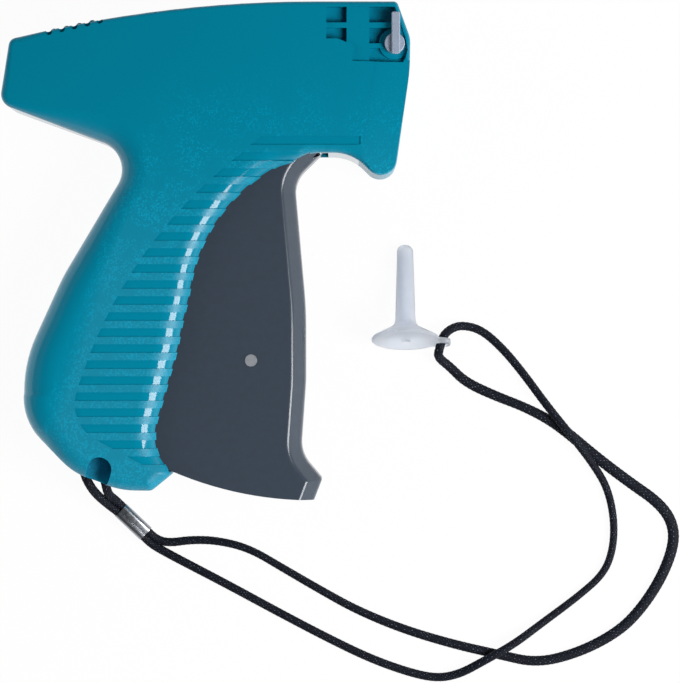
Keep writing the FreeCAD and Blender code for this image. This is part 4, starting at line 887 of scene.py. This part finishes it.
class TAGTOOL_OT_stage(bpy.types.Operator):
    """Set the camera, the lamps, the sky and the floor."""

    bl_idname = "tagtool.stage"
    bl_label = "Stage"

    def execute(self, context):
        stage = context.scene.tag_attacher_stage
        context.scene.view_settings.view_transform = "Standard"
        data = bpy.data.cameras.new("camera")
        data.sensor_width = 36.0
        distance = stage.camera_height - VIEW_CENTRE.z
        data.lens = data.sensor_width * distance / stage.view_height
        data.clip_start = 0.01
        camera = bpy.data.objects.new("camera", data)
        camera.location = (VIEW_CENTRE.x, VIEW_CENTRE.y, stage.camera_height)
        context.scene.collection.objects.link(camera)
        context.scene.camera = camera
        lamp("key_lamp", KEY_PLACE, KEY_SIZE, stage.key_power)
        fill = lamp("fill_lamp", FILL_PLACE, FILL_SIZE, stage.fill_power)
        fill.visible_glossy = False
        self.sky(context.scene, stage)
        self.floor(stage)
        return {"FINISHED"}

    def sky(self, scene, stage):
        """Light that is strong level with the floor, weak from above and behind, and plain white where it is seen."""
        scene.world = bpy.data.worlds.new("sky")
        scene.world.use_nodes = True
        tree = scene.world.node_tree
        tree.nodes.clear()
        path = add_node(tree, "ShaderNodeLightPath").outputs
        seen = add_node(
            tree, "ShaderNodeMath", {"operation": "MAXIMUM"},
            {0: path["Is Camera Ray"], 1: path["Is Transmission Ray"]},
        )
        way = add_node(tree, "ShaderNodeTexCoord").outputs["Generated"]
        axes = add_node(tree, "ShaderNodeSeparateXYZ", links={"Vector": way}).outputs
        level = add_node(
            tree, "ShaderNodeMapRange",
            {
                "interpolation_type": "SMOOTHSTEP", "From Min": -1.0, "From Max": 0.6,
                "To Min": stage.horizon_strength * BACK_SHARE, "To Max": stage.horizon_strength,
            },
            {"Value": axes["X"]},
        )
        low = add_node(tree, "ShaderNodeMath", {"operation": "SUBTRACT", "use_clamp": True, 0: 1.0}, {1: axes["Z"]})
        steep = add_node(tree, "ShaderNodeMath", {"operation": "POWER", 1: SKY_FALL}, {0: low.outputs["Value"]})
        even = add_node(
            tree, "ShaderNodeMath", {"operation": "MULTIPLY_ADD", 2: stage.zenith_strength},
            {0: steep.outputs["Value"], 1: level.outputs["Result"]},
        )
        strength = add_node(
            tree, "ShaderNodeMapRange", {"To Max": 1.0},
            {"Value": seen.outputs["Value"], "To Min": even.outputs["Value"]},
        )
        background = add_node(
            tree, "ShaderNodeBackground", {"Color": WHITE}, {"Strength": strength.outputs["Result"]}
        )
        output = add_node(tree, "ShaderNodeOutputWorld")
        tree.links.new(background.outputs["Background"], output.inputs["Surface"])

    def floor(self, stage):
        """A wide sheet of paper, a hair under the tool."""
        bpy.ops.mesh.primitive_plane_add(size=6.0, location=(0.0, 0.0, -0.02 * MM))
        paper = bpy.context.object
        paper.name = "floor"
        paper.data.materials.append(studio_paper("Studio paper", stage.floor))


# ---------------------------------------------------------------- add-on

SETTINGS = {
    "tag_attacher_finishes": FinishSettings,
    "tag_attacher_cord": CordSettings,
    "tag_attacher_stage": StageSettings,
}
OPERATORS = (
    TAGTOOL_OT_stage,
    TAGTOOL_OT_crimp_sleeve,
    TAGTOOL_OT_long_loop,
    TAGTOOL_OT_heel_loop,
    TAGTOOL_OT_housing,
    TAGTOOL_OT_trigger,
    TAGTOOL_OT_return_spring,
    TAGTOOL_OT_needle_lock,
    TAGTOOL_OT_feed_works,
    TAGTOOL_OT_drive_works,
    TAGTOOL_OT_fastenings,
)


class TAGTOOL_PT_sidebar(bpy.types.Panel):
    """Lists the tool's settings and steps in the 3D view's sidebar."""

    bl_label = "Tag attacher"
    bl_idname = "TAGTOOL_PT_sidebar"
    bl_space_type = "VIEW_3D"
    bl_region_type = "UI"
    bl_category = "Tag attacher"

    def draw(self, context):
        for name, group in SETTINGS.items():
            box = self.layout.box()
            for setting in group.__annotations__:
                box.prop(getattr(context.scene, name), setting)
        for step in OPERATORS:
            self.layout.operator(step.bl_idname)


def register():
    """Registers the settings, the steps and the panel, and gives the scene its settings."""
    for group in SETTINGS.values():
        bpy.utils.register_class(group)
    for step in OPERATORS:
        bpy.utils.register_class(step)
    bpy.utils.register_class(TAGTOOL_PT_sidebar)
    for name, group in SETTINGS.items():
        setattr(bpy.types.Scene, name, PointerProperty(type=group))


def unregister():
    """Takes away all that register added."""
    for name in SETTINGS:
        delattr(bpy.types.Scene, name)
    bpy.utils.unregister_class(TAGTOOL_PT_sidebar)
    for step in reversed(OPERATORS):
        bpy.utils.unregister_class(step)
    for group in SETTINGS.values():
        bpy.utils.unregister_class(group)


def main():
    """Builds everything in order."""
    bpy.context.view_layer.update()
    register()
    bpy.ops.tagtool.stage()
    bpy.ops.tagtool.crimp_sleeve()
    bpy.ops.tagtool.long_loop()
    bpy.ops.tagtool.heel_loop()
    bpy.ops.tagtool.housing()
    bpy.ops.tagtool.trigger()
    bpy.ops.tagtool.return_spring()
    bpy.ops.tagtool.needle_lock()
    bpy.ops.tagtool.feed_works()
    bpy.ops.tagtool.drive_works()
    bpy.ops.tagtool.fastenings()


if __name__ == "__main__":
    main()
